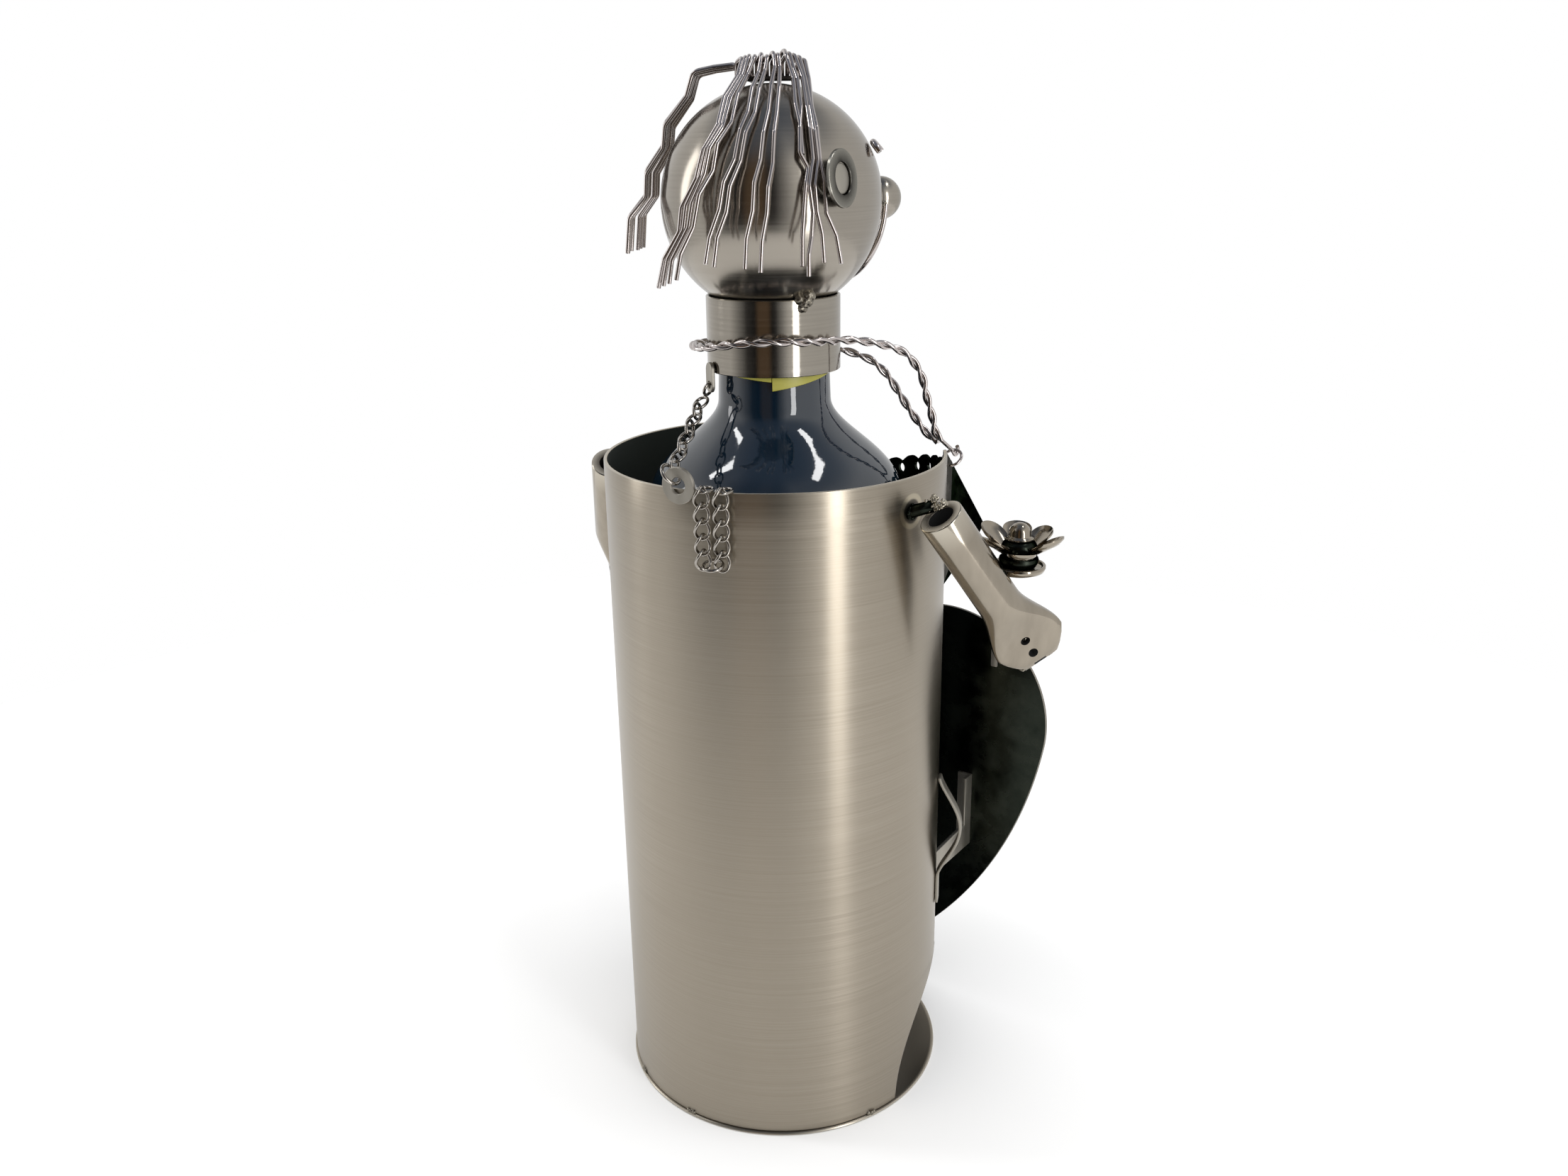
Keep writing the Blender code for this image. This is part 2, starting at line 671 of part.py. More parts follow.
def make_hair(name, turn, shift, start, fan, route_shares):
    """A bundle: each wire leaves the bar beside its neighbour, and turns to its own end on the way down."""
    centre = head_centre()
    out = (head_place(turn, 0, 1) - centre).normalized()
    across = UP.cross(out)
    width = HAIR_PITCH * (len(fan) - 1) + HAIR_BAR_OVERHANG
    bar = bmesh.new()
    bmesh.ops.create_cube(bar, size=1)
    size = Matrix.Diagonal((HAIR_BAR_WIDTH, width, HAIR_BAR_HEIGHT, 1))
    frame = Matrix((out, across, UP)).transposed().to_4x4()
    inner_edge = max(abs(start) - HAIR_BAR_WIDTH / 2, 0)
    seat = math.sqrt((HEAD_RADIUS + SEAT_GAP) ** 2 - inner_edge**2)
    base = centre + out * start + across * shift + UP * (seat + HAIR_BAR_HEIGHT / 2)
    made = place(name, moved(bar, Matrix.Translation(base) @ frame @ size), bright_wire(), centre)
    strands = bmesh.new()
    for k, end_turn in enumerate(fan):
        offset = across * (shift + HAIR_PITCH * (k - (len(fan) - 1) / 2))
        points = [base - across * shift + offset]
        for reach, rise in route_shares:
            share = reach / route_shares[-1][0]
            away = (head_place(turn + end_turn * share, 0, 1) - centre).normalized()
            points.append(centre + offset * (1 - share) + (away * reach + UP * rise) * HEAD_RADIUS)
        curve = wire_data("strand", points, HAIR_WIRE_RADIUS, bright_wire())
        guide = bpy.data.objects.new("strand", curve)
        bpy.context.collection.objects.link(guide)
        bpy.context.view_layer.update()
        graph = bpy.context.evaluated_depsgraph_get()
        mesh = bpy.data.meshes.new_from_object(guide.evaluated_get(graph))
        strands.from_mesh(mesh)
        bpy.data.objects.remove(guide)
        bpy.data.curves.remove(curve)
        bpy.data.meshes.remove(mesh)
    boolean(made, helper(name + "_strands", strands), "UNION")


def make_collar():
    inner = COLLAR_RADIUS - COLLAR_WALL
    top = COLLAR_BOTTOM + COLLAR_HEIGHT
    profile = [(inner, COLLAR_BOTTOM), (COLLAR_RADIUS, COLLAR_BOTTOM), (COLLAR_RADIUS, top), (inner, top)]
    place("neck_collar", turned(profile, closed=True), brushed_steel(), head_centre())


def make_liner():
    outer = COLLAR_RADIUS - COLLAR_WALL - SEAT_GAP
    bottom = COLLAR_BOTTOM - LINER_DROP
    rings = []
    for k in range(LINER_COLUMNS + 1):
        turn = LINER_SLIT_TURN + LINER_SLIT_ANGLE / 2 + (360 - LINER_SLIT_ANGLE) * k / LINER_COLUMNS
        rings.append(
            [
                polar(turn, radius, height)
                for radius, height in (
                    (outer, bottom),
                    (outer, bottom + LINER_HEIGHT),
                    (outer - LINER_WALL, bottom + LINER_HEIGHT),
                    (outer - LINER_WALL, bottom),
                )
            ]
        )
    place("neck_liner", lofted(rings), liner_plastic())


def tab_angle():
    return HEAD_TURN + 180


def tab_hole():
    reach = COLLAR_RADIUS + SEAT_GAP + TAB_THICKNESS / 2
    return polar(tab_angle(), reach, COLLAR_BOTTOM - TAB_DROP + TAB_WIDTH / 2)


def capsule(length, width, steps=6):
    """An outline with round ends, lying along X from the first end's centre."""
    radius = width / 2
    outline = []
    for end, first in ((0.0, 90), (length - width, -90)):
        for k in range(steps + 1):
            turn = math.radians(first + 180 * k / steps)
            outline.append((end + radius * math.cos(turn), radius * math.sin(turn)))
    return outline


def make_collar_tab():
    out = polar(tab_angle(), 1)
    across = UP.cross(out)
    frame = Matrix((UP, across, -out)).transposed().to_4x4()
    hole = tab_hole()
    where = Matrix.Translation(hole + out * (TAB_THICKNESS / 2)) @ frame
    shape = moved(extruded(capsule(TAB_LENGTH, TAB_WIDTH), TAB_THICKNESS), where)
    tab = place("collar_tab", shape, bright_wire())
    middle = Matrix.Translation(hole) @ frame
    drill_through(tab, "tab_drill", TAB_HOLE_RADIUS, TAB_THICKNESS + CUT_OVERRUN, middle)


def washer_centre():
    reach = SHELL_RADIUS + SEAT_GAP + WASHER_THICKNESS / 2
    return polar(WASHER_ANGLE, reach, SHELL_TOP + WASHER_RISE)


def make_washer_and_ring():
    """The washer on the rim, and the ring through its hole. Returns the ring's middle and its axis."""
    out = polar(WASHER_ANGLE, 1)
    profile = [
        (WASHER_HOLE_RADIUS, -WASHER_THICKNESS / 2),
        (WASHER_RADIUS, -WASHER_THICKNESS / 2),
        (WASHER_RADIUS, WASHER_THICKNESS / 2),
        (WASHER_HOLE_RADIUS, WASHER_THICKNESS / 2),
    ]
    where = Matrix.Translation(washer_centre()) @ frame_along(out)
    place("rim_washer", moved(turned(profile, WASHER_SEGMENTS, closed=True), where), bright_wire())
    lean = Matrix.Rotation(math.radians(RING_LEAN), 3, out) @ UP
    middle = washer_centre() + lean * (WASHER_HOLE_RADIUS + WASHER_RADIUS) / 2
    axis = lean.cross(out)
    points = ring_points(RING_RADIUS, RING_SEGMENTS, Matrix.Translation(middle) @ frame_along(axis))
    wire("jump_ring", points, RING_WIRE_RADIUS, bright_wire(), closed=True)
    return middle, axis


def link_points(length, width, twist):
    """The centre line of one oval link, from its near end along X. The twist rolls its far end on."""
    radius = width / 2
    points = []
    half = LINK_POINTS // 2
    for end, first in ((length - radius, -90), (radius, 90)):
        for k in range(half):
            turn = math.radians(first + 180 * k / (half - 1))
            flat = Vector((end + radius * math.cos(turn), radius * math.sin(turn), 0))
            points.append(Matrix.Rotation(math.radians(twist) * flat.x / length, 3, "X") @ flat)
    return points


def hook_distance():
    """From one wire's centre to the next one's, where two links hang in each other."""
    return LINK_WIRE_RADIUS * 2 + LINK_CLEARANCE


def link_data(name, pitch, twist=90):
    points = link_points(pitch + hook_distance(), LINK_WIDTH - LINK_WIRE_RADIUS * 2, twist)
    return wire_data(name, points, LINK_WIRE_RADIUS, bright_wire(), closed=True, sides=0)


def hang_link(name, data, start, direction, normal):
    """One link from its near end along the direction. The normal is that of its near end's plane."""
    x = direction.normalized()
    z = (normal - x * normal.dot(x)).normalized()
    frame = Matrix((x, z.cross(x), z)).transposed().to_4x4()
    made = bpy.data.objects.new(name, data)
    made.matrix_world = Matrix.Translation(start) @ frame
    bpy.context.collection.objects.link(made)
    return made


def carry(made, pivot):
    """Hangs a piece on the empty at its joint, without moving it."""
    made.parent = pivot
    made.matrix_parent_inverse = Matrix.Translation(-pivot.location)


def make_chain_run(ring_middle, ring_axis):
    """The chain from the rim's ring up to just under the collar's tab."""
    high = polar(tab_angle(), RUN_TOP_REACH, COLLAR_BOTTOM - TAB_DROP - RUN_TOP_DROP)
    side = ring_axis.normalized()
    far = high - ring_middle
    flat = (far - side * far.dot(side)).normalized()
    hooked = ring_middle + flat * RING_RADIUS
    span = (high - hooked).normalized()
    start = hooked - span * (RING_WIRE_RADIUS + LINK_WIRE_RADIUS + LINK_CLEARANCE)
    pitch = ((high - start).length - hook_distance()) / RUN_LINKS
    data = link_data("run_link", pitch)
    normal = side.cross(flat)
    for k in range(RUN_LINKS):
        hang_link(f"chain_link_{k + 1}", data, start + span * pitch * k, span, normal)
    print("chain run, link pitch in mm:", round(pitch * 1000, 2))


def strand_angle():
    """The strands hang this far round the rim from the washer."""
    return WASHER_ANGLE + math.degrees(STRAND_ARC / SHELL_RADIUS)


def strand_hinge():
    """The wire of the rim links' outer ends, from which both strands hang."""
    height = SHELL_TOP + SEAT_GAP + LINK_WIRE_RADIUS
    return polar(strand_angle(), SHELL_RADIUS + STRAND_STAND_OFF, height)


def make_surplus():
    """The chain's surplus: a loop outside the rim, hung from two links that lie over the rim."""
    data = link_data("strand_link", STRAND_PITCH)
    rim_data = link_data("rim_link", STRAND_PITCH, 0)
    hinge = strand_hinge()
    out = polar(strand_angle(), 1)
    across = UP.cross(out)
    start = hinge + UP * hook_distance()
    pivot = bpy.data.objects.new("surplus_pivot", None)
    pivot.location = hinge
    bpy.context.collection.objects.link(pivot)
    for side, name in ((1, "right"), (-1, "left")):
        offset = across * (side * STRAND_SPACING / 2)
        hang_link(f"rim_link_{name}", rim_data, hinge + offset, -out, UP)
        for k in range(STRAND_LINKS):
            near = start + offset - UP * STRAND_PITCH * k
            carry(hang_link(f"strand_{name}_link_{k + 1}", data, near, -UP, across), pivot)
    low = start - UP * (STRAND_PITCH * STRAND_LINKS + hook_distance() - FOOT_LINK_RISE)
    tilt = Matrix.Rotation(math.radians(FOOT_LINK_TILT), 4, "Y")
    frame = Matrix.Translation(low) @ frame_along(UP, out) @ tilt
    points = ring_points(STRAND_SPACING / 2, LINK_POINTS, frame)
    carry(wire("foot_link", points, LINK_WIRE_RADIUS, bright_wire(), closed=True, sides=0), pivot)


def arm_ring(frame, along, width, thickness):
    """A section of the arm: an oval that grows squarer as it flattens."""
    square_share = 1 / (2 - thickness / width)
    ring = []
    for k in range(ARM_SIDES):
        turn = math.tau * k / ARM_SIDES
        x = math.copysign(abs(math.cos(turn)) ** square_share, math.cos(turn)) * width / 2
        y = math.copysign(abs(math.sin(turn)) ** square_share, math.sin(turn)) * thickness / 2
        ring.append(frame @ Vector((x, y, along)))
    return ring


def make_arm(side, name, slope, across):
    """Z runs down the arm from the shoulder end's centre, and X across the hand."""
    shoulder = Vector((side * (SHELL_RADIUS + SHOULDER_STAND_OFF), SHOULDER_Y, SHOULDER_Z))
    frame = Matrix.Translation(shoulder) @ frame_along(Vector(slope), Vector(across))
    tube = ARM_RADIUS * 2
    rings = [arm_ring(frame, 0, tube, tube), arm_ring(frame, ARM_ROUND_LENGTH, tube, tube)]
    for step in range(1, FLARE_STEPS + 1):
        share = step / FLARE_STEPS
        width = tube + (HAND_WIDTH - tube) * share**FLARE_WIDTH_EASE_SHARE
        thickness = tube + (HAND_THICKNESS - tube) * share**FLARE_THICKNESS_EASE_SHARE
        along = ARM_ROUND_LENGTH + FLARE_LENGTH * share
        rings.append(arm_ring(frame, along, width, thickness))
    knuckles = ARM_ROUND_LENGTH + FLARE_LENGTH
    rings.append(arm_ring(frame, knuckles + HAND_TIP_LENGTH, HAND_TIP_WIDTH, HAND_THICKNESS))
    arm = place(name, lofted(rings), brushed_steel())
    bore = Matrix.Translation(UP * (ARM_BORE_DEPTH - CUT_OVERRUN) / 2)
    drill_through(arm, name + "_bore", ARM_BORE_RADIUS, ARM_BORE_DEPTH + CUT_OVERRUN, frame @ bore, ARM_SIDES)
    for k in (-1, 1):
        at = Vector((0, 0, knuckles + k * HAND_HOLE_SPACING / 2))
        where = frame @ Matrix.Translation(at) @ Matrix.Rotation(math.pi / 2, 4, "X")
        drill_through(arm, f"{name}_drill_{k + 2}", HAND_HOLE_RADIUS, tube, where, SMALL_DRILL_SEGMENTS)


def make_stub(side, name, lift):
    """The rod from the body's wall to the arm's end, rising so that it lies on the tube's mouth."""
    wall = Vector((side * (SHELL_RADIUS + SHOULDER_STAND_OFF), SHOULDER_Y, 0)).normalized()
    start = wall * (SHELL_RADIUS + SEAT_GAP) + UP * (SHOULDER_Z + lift)
    direction = (wall * STUB_LENGTH + UP * STUB_RISE).normalized()
    first = ring_points(STUB_RADIUS, SMALL_SEGMENTS, frame_along(wall))
    second = ring_points(STUB_RADIUS, SMALL_SEGMENTS, frame_along(direction))
    bow = SHELL_RADIUS - math.sqrt(SHELL_RADIUS**2 - STUB_RADIUS**2)
    rings = [
        [point + start + wall * bow for point in first],
        [point + start + direction * STUB_LENGTH for point in second],
    ]
    place(name, lofted(rings), brushed_steel())


def heart_lobe_x():
    """From the heart's middle to a lobe's centre. The two round lobes overlap at the cleft."""
    return HEART_LOBE_RADIUS - HEART_CLEFT_OVERLAP


def heart_outline():
    """The heart as seen from the front, in (x, z): two round lobes, each with a long arc down to the tip."""
    turn = math.radians(HEART_SIDE_TURN)
    lobe_x = heart_lobe_x()
    rise = HEART_LOBE_Z - HEART_TIP_HEIGHT
    spread = math.hypot(lobe_x, rise)
    lean = rise * math.sin(turn) - lobe_x * math.cos(turn)
    extra = (spread**2 - HEART_LOBE_RADIUS**2) / (2 * (HEART_LOBE_RADIUS - lean))
    side_radius = extra + HEART_LOBE_RADIUS
    side_x = lobe_x - extra * math.cos(turn)
    side_z = HEART_LOBE_Z + extra * math.sin(turn)
    tip_turn = math.atan2(HEART_TIP_HEIGHT - side_z, -side_x)
    cleft = math.acos(-lobe_x / HEART_LOBE_RADIUS)
    half = []
    for k in range(HEART_SIDE_STEPS):
        angle = tip_turn + (-turn - tip_turn) * k / HEART_SIDE_STEPS
        half.append((side_x + side_radius * math.cos(angle), side_z + side_radius * math.sin(angle)))
    for k in range(HEART_LOBE_STEPS + 1):
        angle = -turn + (cleft + turn) * k / HEART_LOBE_STEPS
        x = lobe_x + HEART_LOBE_RADIUS * math.cos(angle)
        half.append((x, HEART_LOBE_Z + HEART_LOBE_RADIUS * math.sin(angle)))
    return half + [(-x, z) for x, z in reversed(half[1:-1])]


def make_heart():
    front = heart_back() - SEAT_GAP - HEART_THICKNESS
    frame = Matrix(((1, 0, 0, 0), (0, 0, 1, front), (0, 1, 0, 0), (0, 0, 0, 1)))
    place("heart_plate", moved(extruded(heart_outline(), HEART_THICKNESS), frame), dark_steel())


def heart_back():
    """Where the strips start, just behind the plate."""
    return -(SHELL_RADIUS + HEART_STAND_OFF - HEART_THICKNESS / 2) + SEAT_GAP


def make_upper_strip(side, name):
    """A flat strip on the heart's back, high on its lobe."""
    outer = side * (heart_lobe_x() + UPPER_STRIP_SPREAD)
    inner = outer - side * UPPER_STRIP_WIDTH
    outline = [
        (inner, heart_back()),
        (outer, heart_back()),
        (outer, heart_back() + STRIP_THICKNESS),
        (inner, heart_back() + STRIP_THICKNESS),
    ]
    foot = Matrix.Translation(UP * (HEART_LOBE_Z + UPPER_STRIP_RISE))
    place(name, moved(extruded(outline, UPPER_STRIP_HEIGHT), foot), bright_wire())


def make_lower_strip(side, name):
    """An angle strip on the heart's back. At its foot, the lip runs on as a web to the body's front edge."""
    edge = polar(FRONT_EDGE_ANGLE, SHELL_RADIUS)
    web_back = edge.y - SEAT_GAP
    back = heart_back()
    reach_x = edge.x + LOWER_STRIP_OVERHANG
    outer = side * reach_x
    inner = side * (reach_x - LOWER_STRIP_WIDTH)
    lip = outer - side * STRIP_THICKNESS
    rings = []
    rise = HEART_LOBE_Z - LOWER_STRIP_DROP
    for height, reach in (
        (rise, web_back),
        (rise + WEB_HEIGHT, web_back),
        (rise + WEB_HEIGHT + STRIP_THICKNESS, back + STRIP_THICKNESS + LOWER_STRIP_LIP),
        (rise + LOWER_STRIP_HEIGHT, back + STRIP_THICKNESS + LOWER_STRIP_LIP),
    ):
        outline = [
            (inner, back),
            (outer, back),
            (outer, reach),
            (lip, reach),
            (lip, back + STRIP_THICKNESS),
            (inner, back + STRIP_THICKNESS),
        ]
        rings.append([Vector((x, y, height)) for x, y in outline])
    place(name, lofted(rings), bright_wire())


def make_bow_strip():
    """A narrow strip bowed off the body beside its right front edge."""
    out = polar(BOW_ANGLE, 1)
    across = UP.cross(out)
    rest = SHELL_RADIUS + SEAT_GAP
    rings = []
    for k in range(BOW_STEPS + 1):
        share = k / BOW_STEPS
        height = BOW_TOP - BOW_HEIGHT * share
        swell = math.sin(math.pi * min(share / BOW_LENGTH_SHARE, 1)) ** BOW_EASE_SHARE
        near = out * (rest + BOW_REACH * swell)
        far = near + out * BOW_THICKNESS
        half = across * BOW_WIDTH / 2
        rings.append([point + UP * height for point in (near - half, near + half, far + half, far - half)])
    place("side_strip", lofted(rings), bright_wire())


def lapel_corner(side):
    """The lapel's top corner, just in front of the body's front edge."""
    edge = polar(side * FRONT_EDGE_ANGLE, SHELL_RADIUS - SHELL_WALL / 2)
    return Vector((edge.x, edge.y - SEAT_GAP - SHELL_WALL / 2, SHELL_TOP - LAPEL_TOP_DROP))


def make_lapel(side, name):
    corner = lapel_corner(side)
    outline = [
        (0, 0),
        (0, -LAPEL_LENGTH),
        (LAPEL_REACH * LAPEL_TIP_REACH_SHARE, -LAPEL_FALL * LAPEL_TIP_FALL_SHARE),
        (LAPEL_REACH, -LAPEL_FALL),
    ]
    frame = Matrix(((0, 0, 1, -LAPEL_THICKNESS / 2), (-1, 0, 0, 0), (0, 1, 0, 0), (0, 0, 0, 1)))
    shape = moved(extruded(outline, LAPEL_THICKNESS), Matrix.Translation(corner) @ frame)
    lapel = place(name, shape, dark_steel())
    if side > 0:
        return
    where = Matrix.Translation(lapel_hole()) @ Matrix.Rotation(math.pi / 2, 4, "Y")
    drill_through(lapel, "lapel_drill", LAPEL_HOLE_RADIUS, LAPEL_THICKNESS + CUT_OVERRUN, where)


def lapel_hole():
    return lapel_corner(-1) + Vector((0, -LAPEL_HOLE_INSET, -LAPEL_HOLE_DROP))


def lapel_edge():
    """The slanting edge's direction, and the direction square to it that leaves the plate."""
    edge = Vector((0, -LAPEL_REACH, -LAPEL_FALL)).normalized()
    return edge, Vector((0, edge.z, -edge.y))


def make_strap_ring():
    """The small ring through the right lapel's hole and round its slanting edge."""
    edge, normal = lapel_edge()
    frame = frame_along(edge, normal)
    middle = lapel_hole() + normal * STRAP_RING_LIFT
    points = ring_points(STRAP_RING_RADIUS, RING_SEGMENTS, Matrix.Translation(middle) @ frame)
    wire("strap_ring", points, STRAP_RING_WIRE_RADIUS, bright_wire(), closed=True)


def make_neck_wires():
    step = TWIST_PITCH / TWIST_STEPS
    route = spline_through(NECK_ROUTE, step)
    wires = ([], [])
    side = UP
    for i, point in enumerate(route):
        ahead = route[min(i + 1, len(route) - 1)] - route[max(i - 1, 0)]
        ahead.normalize()
        side = (side - ahead * side.dot(ahead)).normalized()
        other = ahead.cross(side)
        turn = math.tau * i / TWIST_STEPS
        offset = (side * math.cos(turn) + other * math.sin(turn)) * TWIST_RADIUS
        wires[0].append(point + offset)
        wires[1].append(point - offset)
    # The first wire's end runs on alone through the ring.
    edge, normal = lapel_edge()
    threaded = lapel_hole() + normal * STRAP_TAIL_LIFT
    wires[0][:0] = [threaded + edge * STRAP_TAIL_HALF, threaded - edge * STRAP_TAIL_HALF]
    for name, points in zip(("neck_wire_a", "neck_wire_b"), wires):
        wire(name, points, TWIST_WIRE_RADIUS, bright_wire(), sides=0)
    least = min((a - b).length for a in wires[0] for b in wires[1]) - 2 * TWIST_WIRE_RADIUS
    print("neck wires, least gap between the two in mm:", round(least * 1000, 2))


def lace_line(turn):
    """The height that the lace's top follows: low in the middle, and rising to both ends."""
    return LACE_MIDDLE_TOP + (LACE_EDGE_TOP - LACE_MIDDLE_TOP) * abs(turn) / LACE_HALF_ANGLE


def lace_top(turn):
    scallop = abs(math.sin(math.pi * LACE_SCALLOPS * (turn / LACE_HALF_ANGLE + 1) / 2))
    return lace_line(turn) + LACE_SCALLOP * (scallop - 1)


def make_lace():
    outer = SHELL_RADIUS - SHELL_WALL - SEAT_GAP
    rings = []
    for k in range(LACE_COLUMNS + 1):
        turn = LACE_HALF_ANGLE * (2 * k / LACE_COLUMNS - 1)
        top = lace_top(turn)
        bottom = lace_line(turn) - LACE_HEIGHT
        rings.append(
            [
                polar(turn, radius, height)
                for radius, height in (
                    (outer, bottom),
                    (outer, top),
                    (outer - LACE_WALL, top),
                    (outer - LACE_WALL, bottom),
                )
            ]
        )
    lace = place("lace_collar", lofted(rings), dark_steel())
    holes = bmesh.new()
    middle = outer - LACE_WALL / 2
    for row, row_share in enumerate(LACE_ROW_SHARES):
        count = LACE_SCALLOPS - (row + 1) % 2
        for k in range(count):
            turn = LACE_HALF_ANGLE * 2 * (k + 0.5 - count / 2) / LACE_SCALLOPS
            if abs(turn) > LACE_HOLE_LIMIT_ANGLE:
                continue
            height = lace_line(turn) - LACE_HEIGHT * row_share
            frame = Matrix.Translation(polar(turn, middle, height)) @ frame_along(polar(turn, 1))
            bmesh.ops.create_cone(
                holes,
                cap_ends=True,
                segments=LACE_HOLE_SEGMENTS,
                radius1=LACE_HOLE_RADIUS,
                radius2=LACE_HOLE_RADIUS,
                depth=LACE_WALL + CUT_OVERRUN,
                matrix=frame,
            )
    boolean(lace, helper("lace_drills", holes), "DIFFERENCE")


def petal_reach(turn):
    """How far the flower reaches at this turn: rounded petals with narrow clefts between them."""
    lobe = abs(math.cos(PETAL_COUNT * turn / 2))
    return PETAL_HUB_RADIUS + (PETAL_LENGTH - PETAL_HUB_RADIUS) * lobe**PETAL_ROUND_SHARE


def make_petals(where, hub):
    """The petals are one dished sheet: rows that fan out from the hub, and the same rows above them."""
    columns = PETAL_COUNT * PETAL_COLUMNS
    shape = bmesh.new()
    sheets = []
    for lift in (0, PETAL_THICKNESS):
        rows = []
        for row in range(1, PETAL_STEPS + 1):
            share = row / PETAL_STEPS
            turns = [math.tau * column / columns for column in range(columns)]
            reaches = [petal_reach(turn) * share for turn in turns]
            rises = [hub + lift + PETAL_RISE * (reach / PETAL_LENGTH) ** 2 for reach in reaches]
            points = [polar(math.degrees(t), r, z) for t, r, z in zip(turns, reaches, rises)]
            rows.append([shape.verts.new(point) for point in points])
        middle = shape.verts.new((0, 0, hub + lift))
        for i in range(columns):
            after = (i + 1) % columns
            shape.faces.new((middle, rows[0][i], rows[0][after]))
            for low, high in zip(rows, rows[1:]):
                shape.faces.new((low[i], high[i], high[after], low[after]))
        sheets.append(rows[-1])
    for i in range(columns):
        after = (i + 1) % columns
        shape.faces.new((sheets[0][i], sheets[0][after], sheets[1][after], sheets[1][i]))
    place("flower_petals", moved(shape, where), bright_wire())


def make_flower():
    x = -SHELL_RADIUS - SHOULDER_STAND_OFF - FLOWER_OFFSET
    where = Matrix.Translation(Vector((x, FLOWER_Y, FLOWER_Z)))
    lip = SAUCER_RADIUS - SAUCER_LIP
    saucer = [
        (0, 0),
        (lip, 0),
        (SAUCER_RADIUS, SAUCER_HEIGHT / 2),
        (SAUCER_RADIUS, SAUCER_HEIGHT),
        (lip, SAUCER_HEIGHT),
        (lip - SAUCER_LIP, SAUCER_HEIGHT / 2),
        (0, SAUCER_HEIGHT / 2),
    ]
    place("flower_saucer", moved(turned(saucer, WASHER_SEGMENTS), where), bright_wire())
    foot = SAUCER_HEIGHT / 2 + SEAT_GAP
    top = foot + CUP_HEIGHT
    rim = top - CUP_HEIGHT * CUP_RIM_SHARE
    cup = [(0, foot), (CUP_FOOT_RADIUS, foot), (CUP_RADIUS, rim), (CUP_RADIUS, top), (0, top)]
    place("flower_cup", moved(turned(cup, WASHER_SEGMENTS), where), dark_steel())
    hub = top + SEAT_GAP
    make_petals(where, hub)
    seed_foot = hub + PETAL_THICKNESS + SEAT_GAP * 2
    seed_top = seed_foot + SEED_HEIGHT
    seed = [
        (0, seed_foot),
        (SEED_RADIUS / 2, seed_foot),
        (SEED_RADIUS, seed_foot + SEED_HEIGHT / 2),
        (SEED_RADIUS * SEED_TOP_SHARE, seed_top),
        (0, seed_top),
    ]
    place("flower_seed", moved(turned(seed, SMALL_SEGMENTS), where), dark_steel())
    cap_foot = seed_top + SEAT_GAP
    cap = [
        (0, cap_foot),
        (CAP_RADIUS, cap_foot),
        (CAP_RADIUS, cap_foot + CAP_HEIGHT * CAP_SIDE_SHARE),
        (CAP_RADIUS * CAP_TOP_SHARE, cap_foot + CAP_HEIGHT),
        (0, cap_foot + CAP_HEIGHT),
    ]
    place("flower_cap", moved(turned(cap, SMALL_SEGMENTS), where), bright_wire())


def main():
    for old in list(bpy.data.objects):
        bpy.data.objects.remove(old)
    make_shell()
    make_base_plate()
    make_bottle()
    make_liner()
    make_collar()
    make_collar_tab()
    make_head_ball()
    make_smile()
    make_eyelids()
    make_ears()
    back = (BACK_HAIR_TURN, BACK_HAIR_SHIFT, BACK_HAIR_START, BACK_HAIR_FAN, BACK_HAIR_ROUTE_SHARES)
    make_hair("back_hair", *back)
    side = (SIDE_HAIR_TURN, SIDE_HAIR_SHIFT, SIDE_HAIR_START, SIDE_HAIR_FAN, SIDE_HAIR_ROUTE_SHARES)
    make_hair("side_hair", *side)
    make_chain_run(*make_washer_and_ring())
    make_surplus()
    make_arm(-1, "arm_right", RIGHT_ARM_SLOPE, RIGHT_HAND_ACROSS)
    make_arm(1, "arm_left", LEFT_ARM_SLOPE, LEFT_HAND_ACROSS)
    make_stub(-1, "arm_stub_right", RIGHT_STUB_LIFT)
    make_stub(1, "arm_stub_left", LEFT_STUB_LIFT)
    make_heart()
    for side, name in ((-1, "right"), (1, "left")):
        make_lower_strip(side, f"heart_strip_lower_{name}")
        make_upper_strip(side, f"heart_strip_upper_{name}")
        make_lapel(side, f"lapel_{name}")
    make_bow_strip()
    make_lace()
    make_strap_ring()
    make_neck_wires()
    make_flower()


main()
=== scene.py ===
# %% [markdown]
# # A figurine that holds a wine bottle
# A rolled sheet of brushed steel is the body, and a hollow ball on a collar is the head, which slips
# over the bottle's neck. Chain, twisted wire, crimped wire hair, a punched collar and a flower dress it.
# The solid model gives every place and size. This lesson dresses it: fine meshes, welds, and finishes
# made of nodes.

# %% Load the solid model
import json
import math

import bmesh
import bpy
from mathutils import Matrix, Vector, noise

